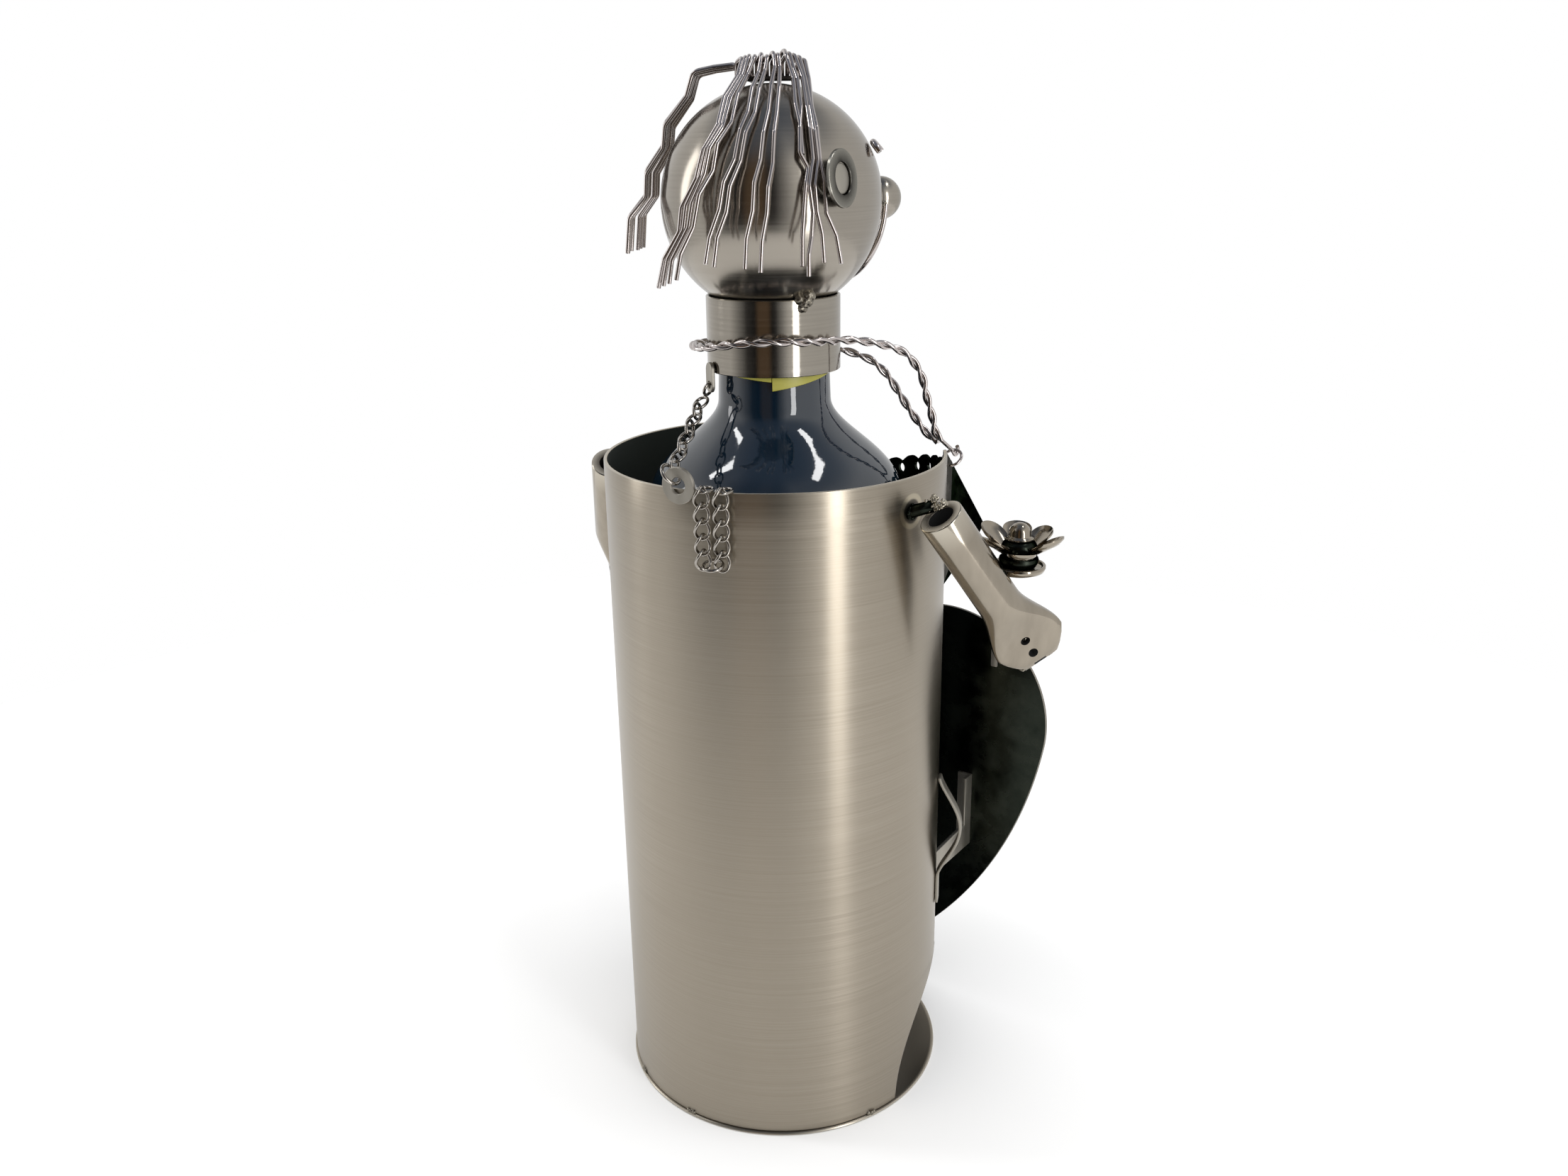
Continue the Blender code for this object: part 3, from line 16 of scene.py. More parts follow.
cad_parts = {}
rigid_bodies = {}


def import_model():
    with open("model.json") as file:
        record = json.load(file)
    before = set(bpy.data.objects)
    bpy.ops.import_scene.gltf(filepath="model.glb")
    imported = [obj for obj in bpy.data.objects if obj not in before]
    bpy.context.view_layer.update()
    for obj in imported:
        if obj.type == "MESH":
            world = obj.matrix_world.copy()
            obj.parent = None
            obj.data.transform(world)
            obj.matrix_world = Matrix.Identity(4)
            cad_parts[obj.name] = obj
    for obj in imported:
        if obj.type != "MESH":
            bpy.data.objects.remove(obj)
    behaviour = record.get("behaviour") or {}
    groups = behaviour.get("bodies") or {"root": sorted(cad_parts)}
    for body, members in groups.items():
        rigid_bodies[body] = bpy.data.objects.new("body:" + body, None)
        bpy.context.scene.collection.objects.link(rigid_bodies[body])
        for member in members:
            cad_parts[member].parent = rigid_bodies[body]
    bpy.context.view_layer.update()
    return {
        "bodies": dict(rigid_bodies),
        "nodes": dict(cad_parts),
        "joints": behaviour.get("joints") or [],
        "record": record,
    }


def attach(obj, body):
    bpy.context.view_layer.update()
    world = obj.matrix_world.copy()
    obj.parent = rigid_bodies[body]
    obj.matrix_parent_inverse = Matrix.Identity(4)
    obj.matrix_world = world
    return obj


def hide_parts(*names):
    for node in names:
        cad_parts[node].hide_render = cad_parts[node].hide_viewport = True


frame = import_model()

scene = bpy.context.scene
UP = Vector((0, 0, 1))
noise.seed_set(7)

# %% [markdown]
# ## The camera first
# The photograph looks down at the figure's back from behind its right shoulder. The place and the turn
# below came from fitting a camera to the body's rim and foot, so they are plain numbers here. The lens
# is a normal one of 30 mm on a 36 mm sensor, and the middle of the picture is the middle of the lens, so
# nothing is shifted.

# %% Camera
CAMERA_PLACE = (-0.22107, 0.30427, 0.28665)
CAMERA_TURNS = (71.350, 0.754, -144.549)
SENSOR_MM, LENS_MM, NEAREST_SEEN = 36, 30.054, 0.01

camera = bpy.data.objects.new("camera", bpy.data.cameras.new("camera"))
camera.data.sensor_width = SENSOR_MM
camera.data.lens = LENS_MM
camera.data.clip_start = NEAREST_SEEN
camera.location = CAMERA_PLACE
camera.rotation_euler = [math.radians(angle) for angle in CAMERA_TURNS]
scene.collection.objects.link(camera)
scene.camera = camera
print("camera is this far from the figure in mm:", round(camera.location.length * 1000))

# %% [markdown]
# ## Floor and light
# Steel shows what stands round it, so the room is designed for its reflections. A ramp over the compass
# gives the belt that the upright walls reflect: pale to both sides and behind the figure, nearly black
# where the camera stands, and a warm brown in the middle of that black. Only shiny surfaces see this
# room. The eye and matt things see plain white, so the floor, a round white table, melts into it.

# %% Nodes, and ramps through them
def node(tree, kind, values=None, **settings):
    """A new node. A value that is a socket is linked, and any other value is set."""
    made = tree.nodes.new(kind)
    for name, value in settings.items():
        setattr(made, name, value)
    for key, value in (values or {}).items():
        if isinstance(value, bpy.types.NodeSocket):
            tree.links.new(value, made.inputs[key])
        else:
            made.inputs[key].default_value = value
    return made


def ramp(tree, factor, stops, interpolation="LINEAR"):
    """A colour ramp through (place, grey or colour) stops."""
    made = node(tree, "ShaderNodeValToRGB", {"Fac": factor})
    made.color_ramp.interpolation = interpolation
    elements = made.color_ramp.elements
    while len(elements) < len(stops):
        elements.new(0.5)
    for element, (place, colour) in zip(elements, stops):
        element.position = place
        element.color = (*((colour,) * 3 if isinstance(colour, float) else colour), 1)
    return made.outputs["Color"]


def math_node(tree, operation, first, second=0.0, third=0.0):
    return node(tree, "ShaderNodeMath", {0: first, 1: second, 2: third}, operation=operation).outputs[0]


print("a tree can be written in plain calls")

# %% The room that the steel mirrors
VIEW, RIGHT = Vector((-0.588, 0.809, 0)), Vector((-0.809, -0.588, 0))
BROWN, CEILING = (0.15, 0.10, 0.06), (0.17, 0.20, 0.26, 1)
# Brightness at each angle from the camera, positive to its right.
BELT = (
    (-180, 0.70), (-150, 0.95), (-106, 0.85), (-80, 0.88), (-62, 0.40), (-46, 0.06), (-32, 0.02),
    (-24, BROWN), (-10, BROWN), (-2, 0.02), (4, 0.06), (14, 0.40), (26, 0.95), (52, 0.95), (80, 0.90),
    (104, 0.90), (120, 0.85), (150, 0.75), (180, 0.70),
)
CEILING_STOPS = ((0.0, 0.0), (0.55, 0.0), (0.88, 0.75), (1.0, 1.0))


def along_axis(tree, direction, axis):
    made = node(tree, "ShaderNodeVectorMath", {0: direction, 1: axis}, operation="DOT_PRODUCT")
    return made.outputs["Value"]


def make_world():
    world = bpy.data.worlds.new("studio")
    world.use_nodes = True
    scene.world = world
    tree = world.node_tree
    tree.nodes.clear()
    direction = node(tree, "ShaderNodeTexCoord").outputs["Generated"]
    height = node(tree, "ShaderNodeSeparateXYZ", {0: direction}).outputs["Z"]
    near, across = (along_axis(tree, direction, axis) for axis in (VIEW, RIGHT))
    turn = math_node(tree, "DIVIDE", math_node(tree, "ARCTAN2", across, near), math.tau)
    belt_stops = [(angle / 360 + 0.5, grey) for angle, grey in BELT]
    belt = ramp(tree, math_node(tree, "ADD", turn, 0.5), belt_stops)
    rise = ramp(tree, height, CEILING_STOPS, "EASE")
    room = node(tree, "ShaderNodeMix", {0: rise, 6: belt, 7: CEILING}, data_type="RGBA")
    reflected = node(tree, "ShaderNodeBackground", {"Color": room.outputs[2], "Strength": 1.0})
    seen = node(tree, "ShaderNodeBackground", {"Color": (1, 1, 1, 1), "Strength": 1.0})
    mirror = node(tree, "ShaderNodeLightPath").outputs["Is Glossy Ray"]
    both = node(tree, "ShaderNodeMixShader", {0: mirror, 1: seen.outputs[0], 2: reflected.outputs[0]})
    node(tree, "ShaderNodeOutputWorld", {"Surface": both.outputs[0]})


make_world()
print("the belt has", len(BELT), "stops")

# %% Lamps and the white table
LIT_HEIGHT, TABLE_RADIUS, PAPER_WHITE = 0.15, 0.52, 0.93


def lamp(name, angle, height, distance, size, brightness, mirrored=True):
    """A soft box that faces the figure. Its angle is from the camera, positive to the right."""
    light = bpy.data.lights.new(name, "AREA")
    light.shape = "RECTANGLE"
    light.size, light.size_y = size
    light.energy = brightness * math.pi * size[0] * size[1]
    made = bpy.data.objects.new(name, light)
    turn, climb = math.radians(angle), math.radians(height)
    away = (VIEW * math.cos(turn) + RIGHT * math.sin(turn)) * math.cos(climb) + UP * math.sin(climb)
    made.location = UP * LIT_HEIGHT + away * distance
    made.rotation_euler = away.to_track_quat("Z", "Y").to_euler()
    made.visible_camera = False
    made.visible_glossy = mirrored
    scene.collection.objects.link(made)


def make_floor(steps=96):
    shape = bmesh.new()
    turns = [math.tau * k / steps for k in range(steps)]
    rim = [shape.verts.new((TABLE_RADIUS * math.cos(t), TABLE_RADIUS * math.sin(t), 0)) for t in turns]
    shape.faces.new(rim)
    mesh = bpy.data.meshes.new("floor")
    shape.to_mesh(mesh)
    shape.free()
    paper = bpy.data.materials.new("white_paper")
    paper.use_nodes = True
    shader = paper.node_tree.nodes["Principled BSDF"]
    shader.inputs["Base Color"].default_value = (PAPER_WHITE, PAPER_WHITE, PAPER_WHITE, 1)
    shader.inputs["Roughness"].default_value = 0.8
    shader.inputs["Specular IOR Level"].default_value = 0.0
    mesh.materials.append(paper)
    floor = bpy.data.objects.new("floor", mesh)
    scene.collection.objects.link(floor)


make_floor()
# A tall strip on each side draws the long highlights, and two small windows high up show in the bottle. The
# wide lamp overhead lights everything, and no surface mirrors it.
lamp("key", 38, 6, 1.1, (0.20, 1.1), 6.0)
lamp("left_strip", -100, 20, 1.2, (0.22, 0.8), 3.0)
lamp("window_right", 86, 64, 1.2, (0.34, 0.10), 10.0)
lamp("window_left", -98, 57, 1.2, (0.10, 0.30), 10.0)
lamp("top", 20, 70, 1.2, (0.7, 0.7), 1.2, mirrored=False)
scene.view_settings.view_transform = "Standard"
print("stage is set")

# %% [markdown]
# ## Finishes
# Brushed steel is a mirror with thousands of scratches that run one way. Noise that is squeezed in one
# direction and stretched in the other makes them, and it drives colour, roughness and a very shallow
# bump together, so the three agree as they do on real metal. Each finish below is the same recipe with
# its own numbers, because a maker also starts from one sheet of steel and then brushes, plates or
# blackens it. Two marks on a piece's points or faces change the finish there: edge is bare metal where a
# cut was ground, and inside is painted shade where no light reaches, which darkens the colour and takes
# away the metal's mirror.

# %% One recipe for every metal
def start_material(name):
    made = bpy.data.materials.new(name)
    made.use_nodes = True
    tree = made.node_tree
    return made, tree, tree.nodes["Principled BSDF"], node(tree, "ShaderNodeTexCoord").outputs["Object"]


def noise_on(tree, where, scale, detail=4.0):
    """Noise between 0 and 1, squeezed by a scale for each axis."""
    mapped = node(tree, "ShaderNodeMapping", {"Vector": where, "Scale": scale})
    made = node(tree, "ShaderNodeTexNoise", {"Vector": mapped.outputs[0], "Scale": 1.0, "Detail": detail})
    return made.outputs["Fac"]


def mixed(tree, factor, first, second):
    return node(tree, "ShaderNodeMix", {0: factor, 6: first, 7: second}, data_type="RGBA").outputs[2]


def attribute(tree, name):
    return node(tree, "ShaderNodeAttribute", attribute_name=name).outputs["Fac"]


GRAIN_DEPTH = 0.00008
BURNT, HEAT_PALE = (0.030, 0.028, 0.025, 1), (0.56, 0.50, 0.38, 1)
# How strongly each stain covers the metal, by the distance from the weld as a share of the stain's reach.
BURNT_STOPS = ((0.45, 0.95), (0.60, 0.75), (0.72, 0.0))
PALE_STOPS = ((0.64, 0.0), (0.76, 0.85), (0.90, 0.7), (1.0, 0.0))


def paint_inside_shade(tree, shader, colour, rough, painted_shade_mask, inside):
    """Painted shade for the unlit inside: the mark darkens the colour and takes the metal's mirror away as
    well.
    """
    tree.links.new(math_node(tree, "SUBTRACT", 1.0, painted_shade_mask), shader.inputs["Metallic"])
    tree.links.new(math_node(tree, "MULTIPLY_ADD", painted_shade_mask, -0.45, 0.5), shader.inputs["Specular IOR Level"])
    rougher = math_node(tree, "ADD", rough, math_node(tree, "MULTIPLY", painted_shade_mask, 0.3))
    return mixed(tree, painted_shade_mask, colour, (*inside, 1)), rougher


def heat_stained(tree, where, colour, clouds, painted_shade_mask, place, reach):
    """A weld's heat leaves a dark spot inside a pale ring. On the inside nothing shows."""
    far = node(tree, "ShaderNodeVectorMath", {0: where, 1: place}, operation="DISTANCE").outputs["Value"]
    uneven = math_node(tree, "MULTIPLY", clouds, 0.16)
    far = math_node(tree, "ADD", math_node(tree, "DIVIDE", far, reach), uneven)
    far = math_node(tree, "ADD", far, math_node(tree, "MULTIPLY", painted_shade_mask, 2.0))
    colour = mixed(tree, ramp(tree, far, BURNT_STOPS, "EASE"), colour, BURNT)
    return mixed(tree, ramp(tree, far, PALE_STOPS, "EASE"), colour, HEAT_PALE)


def steel(name, dark, light, roughness, grain, bump, anisotropy=0.0, edge=None, inside=None, stain=(),
          tint=1.0):
    """Brushed or plated metal. grain is the noise's scale for each axis, and roughness its low and high."""
    made, tree, shader, where = start_material(name)
    lines = noise_on(tree, where, grain, 3.0)
    bands = noise_on(tree, where, tuple(axis * 0.2 for axis in grain), 2.0)
    clouds = noise_on(tree, where, (38, 38, 38), 3.0)
    streaks = mixed(tree, 0.2, lines, bands)
    colour = mixed(tree, ramp(tree, streaks, [(0.30, 0.0), (0.70, 1.0)]), (*dark, 1), (*light, 1))
    colour = mixed(tree, ramp(tree, clouds, [(0.35, 0.0), (0.7, 0.22)]), colour, (*dark, 1))
    spread = {0: streaks, 1: 0.35, 2: 0.65, 3: roughness[0], 4: roughness[1]}
    rough = node(tree, "ShaderNodeMapRange", spread).outputs[0]
    # Painted shade: where the inside mark is, the colour goes dark and the metal loses its mirror.
    if inside:
        painted_shade_mask = attribute(tree, "inside")
        colour, rough = paint_inside_shade(tree, shader, colour, rough, painted_shade_mask, inside)
    if edge:
        colour = mixed(tree, attribute(tree, "edge"), colour, (*edge, 1))
    for place, reach in stain:
        colour = heat_stained(tree, where, colour, clouds, painted_shade_mask, place, reach)
    tree.links.new(colour, shader.inputs["Base Color"])
    tree.links.new(rough, shader.inputs["Roughness"])
    shader.inputs["Metallic"].default_value = 1.0
    shader.inputs["Specular Tint"].default_value = (tint, tint, tint, 1)
    shader.inputs["Anisotropic"].default_value = anisotropy
    if anisotropy:
        shader.inputs["Anisotropic Rotation"].default_value = 0.25
        tangent = node(tree, "ShaderNodeTangent", direction_type="RADIAL", axis="Z")
        tree.links.new(tangent.outputs[0], shader.inputs["Tangent"])
    relief = node(tree, "ShaderNodeBump", {"Strength": bump, "Distance": GRAIN_DEPTH, "Height": streaks})
    tree.links.new(relief.outputs[0], shader.inputs["Normal"])
    return made


print("the grain is", GRAIN_DEPTH, "m deep")

# %% Every metal of the figure
WELD_RIGHT, WELD_LEFT = (-0.0497, 0.0059, 0.1925), (0.0497, 0.0059, 0.1920)
STAIN_REACH = 0.0056
GROUND_EDGE = (0.46, 0.42, 0.35)
# Each inside colour is the painted shade for the hollows that no light reaches.
finish = {
    "body": steel("body_brushed", (0.285, 0.250, 0.200), (0.350, 0.310, 0.252), (0.30, 0.36),
                  (20, 20, 3200), 0.04, 0.84, edge=GROUND_EDGE, inside=(0.016, 0.020, 0.017),
                  stain=((WELD_RIGHT, STAIN_REACH), (WELD_LEFT, STAIN_REACH))),
    "ball": steel("head_polished", (0.300, 0.273, 0.234), (0.335, 0.306, 0.264), (0.16, 0.20),
                  (24, 24, 2200), 0.015, 0.8),
    "arm": steel("arm_satin", (0.275, 0.242, 0.195), (0.350, 0.310, 0.252), (0.10, 0.17),
                 (260, 260, 60), 0.04, edge=GROUND_EDGE, inside=(0.02, 0.02, 0.02)),
    "wire": steel("wire_nickel", (0.43, 0.39, 0.375), (0.56, 0.51, 0.49), (0.07, 0.13),
                  (160, 160, 60), 0.03),
    "chain": steel("chain_nickel", (0.28, 0.26, 0.235), (0.42, 0.39, 0.35), (0.08, 0.16),
                   (300, 300, 300), 0.04),
    "collar": steel("collar_polished", (0.285, 0.26, 0.222), (0.335, 0.306, 0.262), (0.10, 0.16),
                    (24, 24, 1600), 0.02, 0.7, edge=(0.46, 0.43, 0.37), inside=(0.05, 0.05, 0.045)),
    "dark": steel("black_patina", (0.010, 0.013, 0.010), (0.035, 0.040, 0.032), (0.16, 0.34),
                  (160, 160, 160), 0.08, edge=(0.34, 0.32, 0.28), inside=(0.012, 0.016, 0.013), tint=0.15),
    "ear": steel("ear_gunmetal", (0.045, 0.043, 0.038), (0.11, 0.105, 0.095), (0.20, 0.34),
                 (300, 300, 300), 0.08, edge=(0.26, 0.25, 0.22), tint=0.5),
    "satin": steel("strip_satin", (0.30, 0.28, 0.24), (0.40, 0.375, 0.33), (0.42, 0.54),
                   (200, 200, 60), 0.05),
    "splash": steel("weld_splash", (0.26, 0.24, 0.19), (0.55, 0.50, 0.41), (0.14, 0.30),
                    (900, 900, 900), 0.4),
    "weld": steel("weld_bead", (0.10, 0.09, 0.075), (0.34, 0.31, 0.25), (0.22, 0.45),
                  (900, 900, 900), 0.4),
}
print("metals:", ", ".join(sorted(finish)))

# %% Glass and plastic
NAVY_DARK, NAVY_LIGHT = (0.001, 0.004, 0.009, 1), (0.003, 0.014, 0.028, 1)
GLASS_IOR, WAVE_DEPTH = 1.75, 0.0006
YELLOW_DARK, YELLOW_LIGHT = (0.34, 0.32, 0.03, 1), (0.50, 0.46, 0.09, 1)
CREASE_DEPTH = 0.0002


def dark_glass():
    """Nearly black glass. Blue shows where the light is brightest, and faint waves break the reflections."""
    made, tree, shader, where = start_material("navy_glass")
    waves = noise_on(tree, where, (30, 30, 45), 7.0)
    depth = noise_on(tree, where, (12, 12, 8), 2.0)
    colour = mixed(tree, depth, NAVY_DARK, NAVY_LIGHT)
    tree.links.new(colour, shader.inputs["Base Color"])
    rough = node(tree, "ShaderNodeMapRange", {0: noise_on(tree, where, (200, 200, 200)), 3: 0.025, 4: 0.07})
    tree.links.new(rough.outputs[0], shader.inputs["Roughness"])
    shader.inputs["IOR"].default_value = GLASS_IOR
    relief = node(tree, "ShaderNodeBump", {"Strength": 0.35, "Distance": WAVE_DEPTH, "Height": waves})
    tree.links.new(relief.outputs[0], shader.inputs["Normal"])
    return made


def yellow_film():
    """A strip of thin plastic, paler and rougher where it is creased."""
    made, tree, shader, where = start_material("yellow_film")
    creases = noise_on(tree, where, (60, 60, 500), 3.0)
    colour = mixed(tree, creases, YELLOW_DARK, YELLOW_LIGHT)
    tree.links.new(colour, shader.inputs["Base Color"])
    rough = node(tree, "ShaderNodeMapRange", {0: creases, 3: 0.22, 4: 0.5})
    tree.links.new(rough.outputs[0], shader.inputs["Roughness"])
    shader.inputs["Transmission Weight"].default_value = 0.25
    relief = node(tree, "ShaderNodeBump", {"Strength": 0.2, "Distance": CREASE_DEPTH, "Height": creases})
    tree.links.new(relief.outputs[0], shader.inputs["Normal"])
    return made


finish["glass"] = dark_glass()
finish["film"] = yellow_film()
print("glass and film are ready")

# %% [markdown]
# ## Helpers for shapes
# Most pieces are either turned about an axis, lofted through rings, or cut from sheet. Each helper
# returns an open bmesh, so a piece can be moved, rounded or cut before it becomes an object. Its place
# is in its mesh and its object stays at the origin, so a pattern on Object coordinates never slides.
# Every piece ends in `add`, which gives it its finish and its body, and hides the solids of the CAD
# model that it stands for.

# %% Points, rings and solids
SAME_POINT = 1e-6


def polar(angle, radius, height=0.0):
    """A point at this angle from the front, positive towards the figure's left."""
    turn = math.radians(angle)
    return Vector((radius * math.sin(turn), -radius * math.cos(turn), height))


def along(direction, side=UP, place=(0, 0, 0)):
    """A matrix whose Z runs along the direction and whose X leans to the side."""
    z = Vector(direction).normalized()
    x = Vector(side) - z * z.dot(Vector(side))
    if x.length < 1e-4:
        x = Vector((1, 0, 0)) - z * z.x
    x.normalize()
    return Matrix.Translation(place) @ Matrix((x, z.cross(x), z)).transposed().to_4x4()


def moved(shape, matrix):
    bmesh.ops.transform(shape, matrix=matrix, verts=shape.verts)
    return shape


def turned(profile, segments=96, closed=False):
    """A solid turned about Z from (radius, height) points."""
    shape = bmesh.new()
    points = [shape.verts.new((radius, 0, height)) for radius, height in profile]
    edges = [shape.edges.new(pair) for pair in zip(points, points[1:])]
    if closed:
        edges.append(shape.edges.new((points[-1], points[0])))
    bmesh.ops.spin(shape, geom=points + edges, cent=(0, 0, 0), axis=UP, angle=math.tau, steps=segments)
    bmesh.ops.remove_doubles(shape, verts=shape.verts, dist=SAME_POINT)
    return shape


def lofted(rings):
    """A closed solid through rings of equal point counts."""
    shape = bmesh.new()
    rows = [[shape.verts.new(point) for point in ring] for ring in rings]
    for low, high in zip(rows, rows[1:]):
        for i in range(len(low)):
            after = (i + 1) % len(low)
            shape.faces.new((low[i], low[after], high[after], high[i]))
    shape.faces.new(list(reversed(rows[0])))
    shape.faces.new(rows[-1])
    return shape


def plate(outline, depth):
    """A flat plate from (x, y) points, from Z zero up to the depth."""
    shape = bmesh.new()
    face = shape.faces.new([shape.verts.new((x, y, 0)) for x, y in outline])
    grown = bmesh.ops.extrude_face_region(shape, geom=[face])
    lifted = [item for item in grown["geom"] if isinstance(item, bmesh.types.BMVert)]
    bmesh.ops.translate(shape, verts=lifted, vec=UP * depth)
    return shape


def eased(shape, width, steps=2, angle=30):
    """Rounds every edge that is sharper than the angle."""
    limit = math.radians(angle)
    bmesh.ops.remove_doubles(shape, verts=shape.verts, dist=SAME_POINT)
    bmesh.ops.recalc_face_normals(shape, faces=shape.faces)
    sharp = [edge for edge in shape.edges if len(edge.link_faces) == 2 and edge.calc_face_angle(0) > limit]
    bmesh.ops.bevel(shape, geom=sharp, offset=width, segments=steps, profile=0.5, affect="EDGES")
    return shape


def add(name, shape, look, body, nodes=(), marks=None, sharp=40, by_face=()):
    """Turns a bmesh or a mesh into a finished piece.

    marks maps an attribute's name to a function of a point. An attribute that by_face names has one value
    for each face, taken at its centre, and any other has one for each point of the mesh.
    """
    if isinstance(shape, bmesh.types.BMesh):
        bmesh.ops.remove_doubles(shape, verts=shape.verts, dist=SAME_POINT)
        bmesh.ops.recalc_face_normals(shape, faces=shape.faces)
        mesh = bpy.data.meshes.new(name)
        shape.to_mesh(mesh)
        shape.free()
    else:
        mesh = shape
        mesh.name = name
    mesh.materials.clear()
    mesh.materials.append(finish[look])
    mesh.shade_smooth()
    mesh.set_sharp_from_angle(angle=math.radians(sharp))
    for mark, rule in (marks or {}).items():
        if mark in by_face:
            domain, spots = "FACE", [face.center for face in mesh.polygons]
        else:
            domain, spots = "POINT", [vertex.co for vertex in mesh.vertices]
        layer = mesh.attributes.new(mark, "FLOAT", domain)
        layer.data.foreach_set("value", [float(rule(spot)) for spot in spots])
    made = bpy.data.objects.new(name, mesh)
    scene.collection.objects.link(made)
    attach(made, body)
    if nodes:
        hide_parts(*nodes)
    print(name, len(mesh.polygons), "faces")
    return made


def punched(shape, cutters):
    """A bmesh with the cutters' volumes taken out of it. Both are used up."""
    pair = []
    for label, part in (("blank", shape), ("punch", cutters)):
        bmesh.ops.recalc_face_normals(part, faces=part.faces)
        mesh = bpy.data.meshes.new(label)
        part.to_mesh(mesh)
        part.free()
        made = bpy.data.objects.new(label, mesh)
        scene.collection.objects.link(made)
        pair.append(made)
    cut = pair[0].modifiers.new("cut", "BOOLEAN")
    cut.object, cut.operation, cut.solver = pair[1], "DIFFERENCE", "EXACT"
    bpy.context.view_layer.update()
    mesh = bpy.data.meshes.new_from_object(pair[0].evaluated_get(bpy.context.evaluated_depsgraph_get()))
    for made in pair:
        bpy.data.objects.remove(made)
    result = bmesh.new()
    result.from_mesh(mesh)
    bpy.data.meshes.remove(mesh)
    return result


def drills(places, radius, depth, segments=24):
    """Cylinders at these matrices, along each one's Z."""
    shape = bmesh.new()
    for place in places:
        bmesh.ops.create_cone(shape, cap_ends=True, segments=segments, radius1=radius, radius2=radius,
                              depth=depth, matrix=place)
    return shape


print("helpers for turned, lofted and flat shapes are ready")

# %% [markdown]
# ## A helper for Geometry Nodes
# What repeats, or follows a path, is grown by Geometry Nodes: the wires, the links, the petals, the
# punched holes and the weld beads. A tree is written here once, with named inputs. `grow` puts it on a
# carrier mesh, sets each input by its socket's own identifier, reads the evaluated result as a plain
# mesh, and clears the carrier away.

# %% Write a tree, then grow a mesh with it
KINDS = {float: "NodeSocketFloat", int: "NodeSocketInt", tuple: "NodeSocketVector"}


def new_tree(name, **numbers):
    """A tree with a geometry input and output, and one input for each named number."""
    tree = bpy.data.node_groups.new(name, "GeometryNodeTree")
    tree.interface.new_socket("Geometry", in_out="INPUT", socket_type="NodeSocketGeometry")
    tree.interface.new_socket("Geometry", in_out="OUTPUT", socket_type="NodeSocketGeometry")
    for label, value in numbers.items():
        socket = tree.interface.new_socket(label, in_out="INPUT", socket_type=KINDS[type(value)])
        socket.default_value = value
    tree.interface.new_socket("Finish", in_out="INPUT", socket_type="NodeSocketMaterial")
    return tree, node(tree, "NodeGroupInput").outputs


def end_tree(tree, geometry, finish_socket):
    """Realize, shade, set the finish, and put out."""
    real = node(tree, "GeometryNodeRealizeInstances", {0: geometry}).outputs[0]
    soft = node(tree, "GeometryNodeSetShadeSmooth", {0: real}).outputs[0]
    done = node(tree, "GeometryNodeSetMaterial", {"Geometry": soft, "Material": finish_socket}).outputs[0]
    node(tree, "NodeGroupOutput", {0: done})


def carrier(lines=(), loops=(), points=(), values=None):
    """A mesh of open lines, closed loops and loose points. values maps an attribute to its numbers."""
    shape = bmesh.new()
    for line in lines:
        spots = [shape.verts.new(point) for point in line]
        for pair in zip(spots, spots[1:]):
            shape.edges.new(pair)
    for line in loops:
        spots = [shape.verts.new(point) for point in line]
        for pair in zip(spots, spots[1:] + spots[:1]):
            shape.edges.new(pair)
    for point in points:
        shape.verts.new(point)
    mesh = bpy.data.meshes.new("carrier")
    shape.to_mesh(mesh)
    shape.free()
    for label, numbers in (values or {}).items():
        mesh.attributes.new(label, "FLOAT", "POINT").data.foreach_set("value", numbers)
    return mesh


def grow(tree, mesh, look, **inputs):
    """The tree's result on this carrier, as a plain mesh."""
    host = bpy.data.objects.new("host", mesh)
    scene.collection.objects.link(host)
    modifier = host.modifiers.new("grow", "NODES")
    modifier.node_group = tree
    wanted = {**inputs, "Finish": finish[look]}
    for item in tree.interface.items_tree:
        if item.in_out == "INPUT" and item.name in wanted:
            modifier[item.identifier] = wanted[item.name]
    bpy.context.view_layer.update()
    result = bpy.data.meshes.new_from_object(host.evaluated_get(bpy.context.evaluated_depsgraph_get()))
    bpy.data.objects.remove(host)
    return result


print("a tree's inputs can be:", ", ".join(kind.__name__ for kind in KINDS))

# %% [markdown]
# ## The body
# A sheet 1 mm thick is rolled to a tube of 100 mm that stays open in front. Each lower corner is cut out
# in a quarter ellipse, so one rule gives the edge's angle at any height. The rule is tighter near the
# foot, so the rows are too. The edges are rounded a little, because a cut edge catches a thin line of
# light.

# %% Rolled body and base plate
SHELL_RADIUS, SHELL_WALL, SHELL_TOP = 0.050, 0.001, 0.202
BASE_RADIUS, BASE_THICKNESS, GAP = 0.0506, 0.001, 0.0003
EDGE_ANGLE, NOTCH_ANGLE, NOTCH_HEIGHT = 55.0, 45.0, 0.038
CUT_ROUNDING = 0.00025


def edge_angle(height):
    """How far from the front the sheet begins, in degrees, on either side."""
    if height >= NOTCH_HEIGHT:
        return EDGE_ANGLE
    return EDGE_ANGLE + NOTCH_ANGLE * math.sqrt(1 - (height / NOTCH_HEIGHT) ** 2)


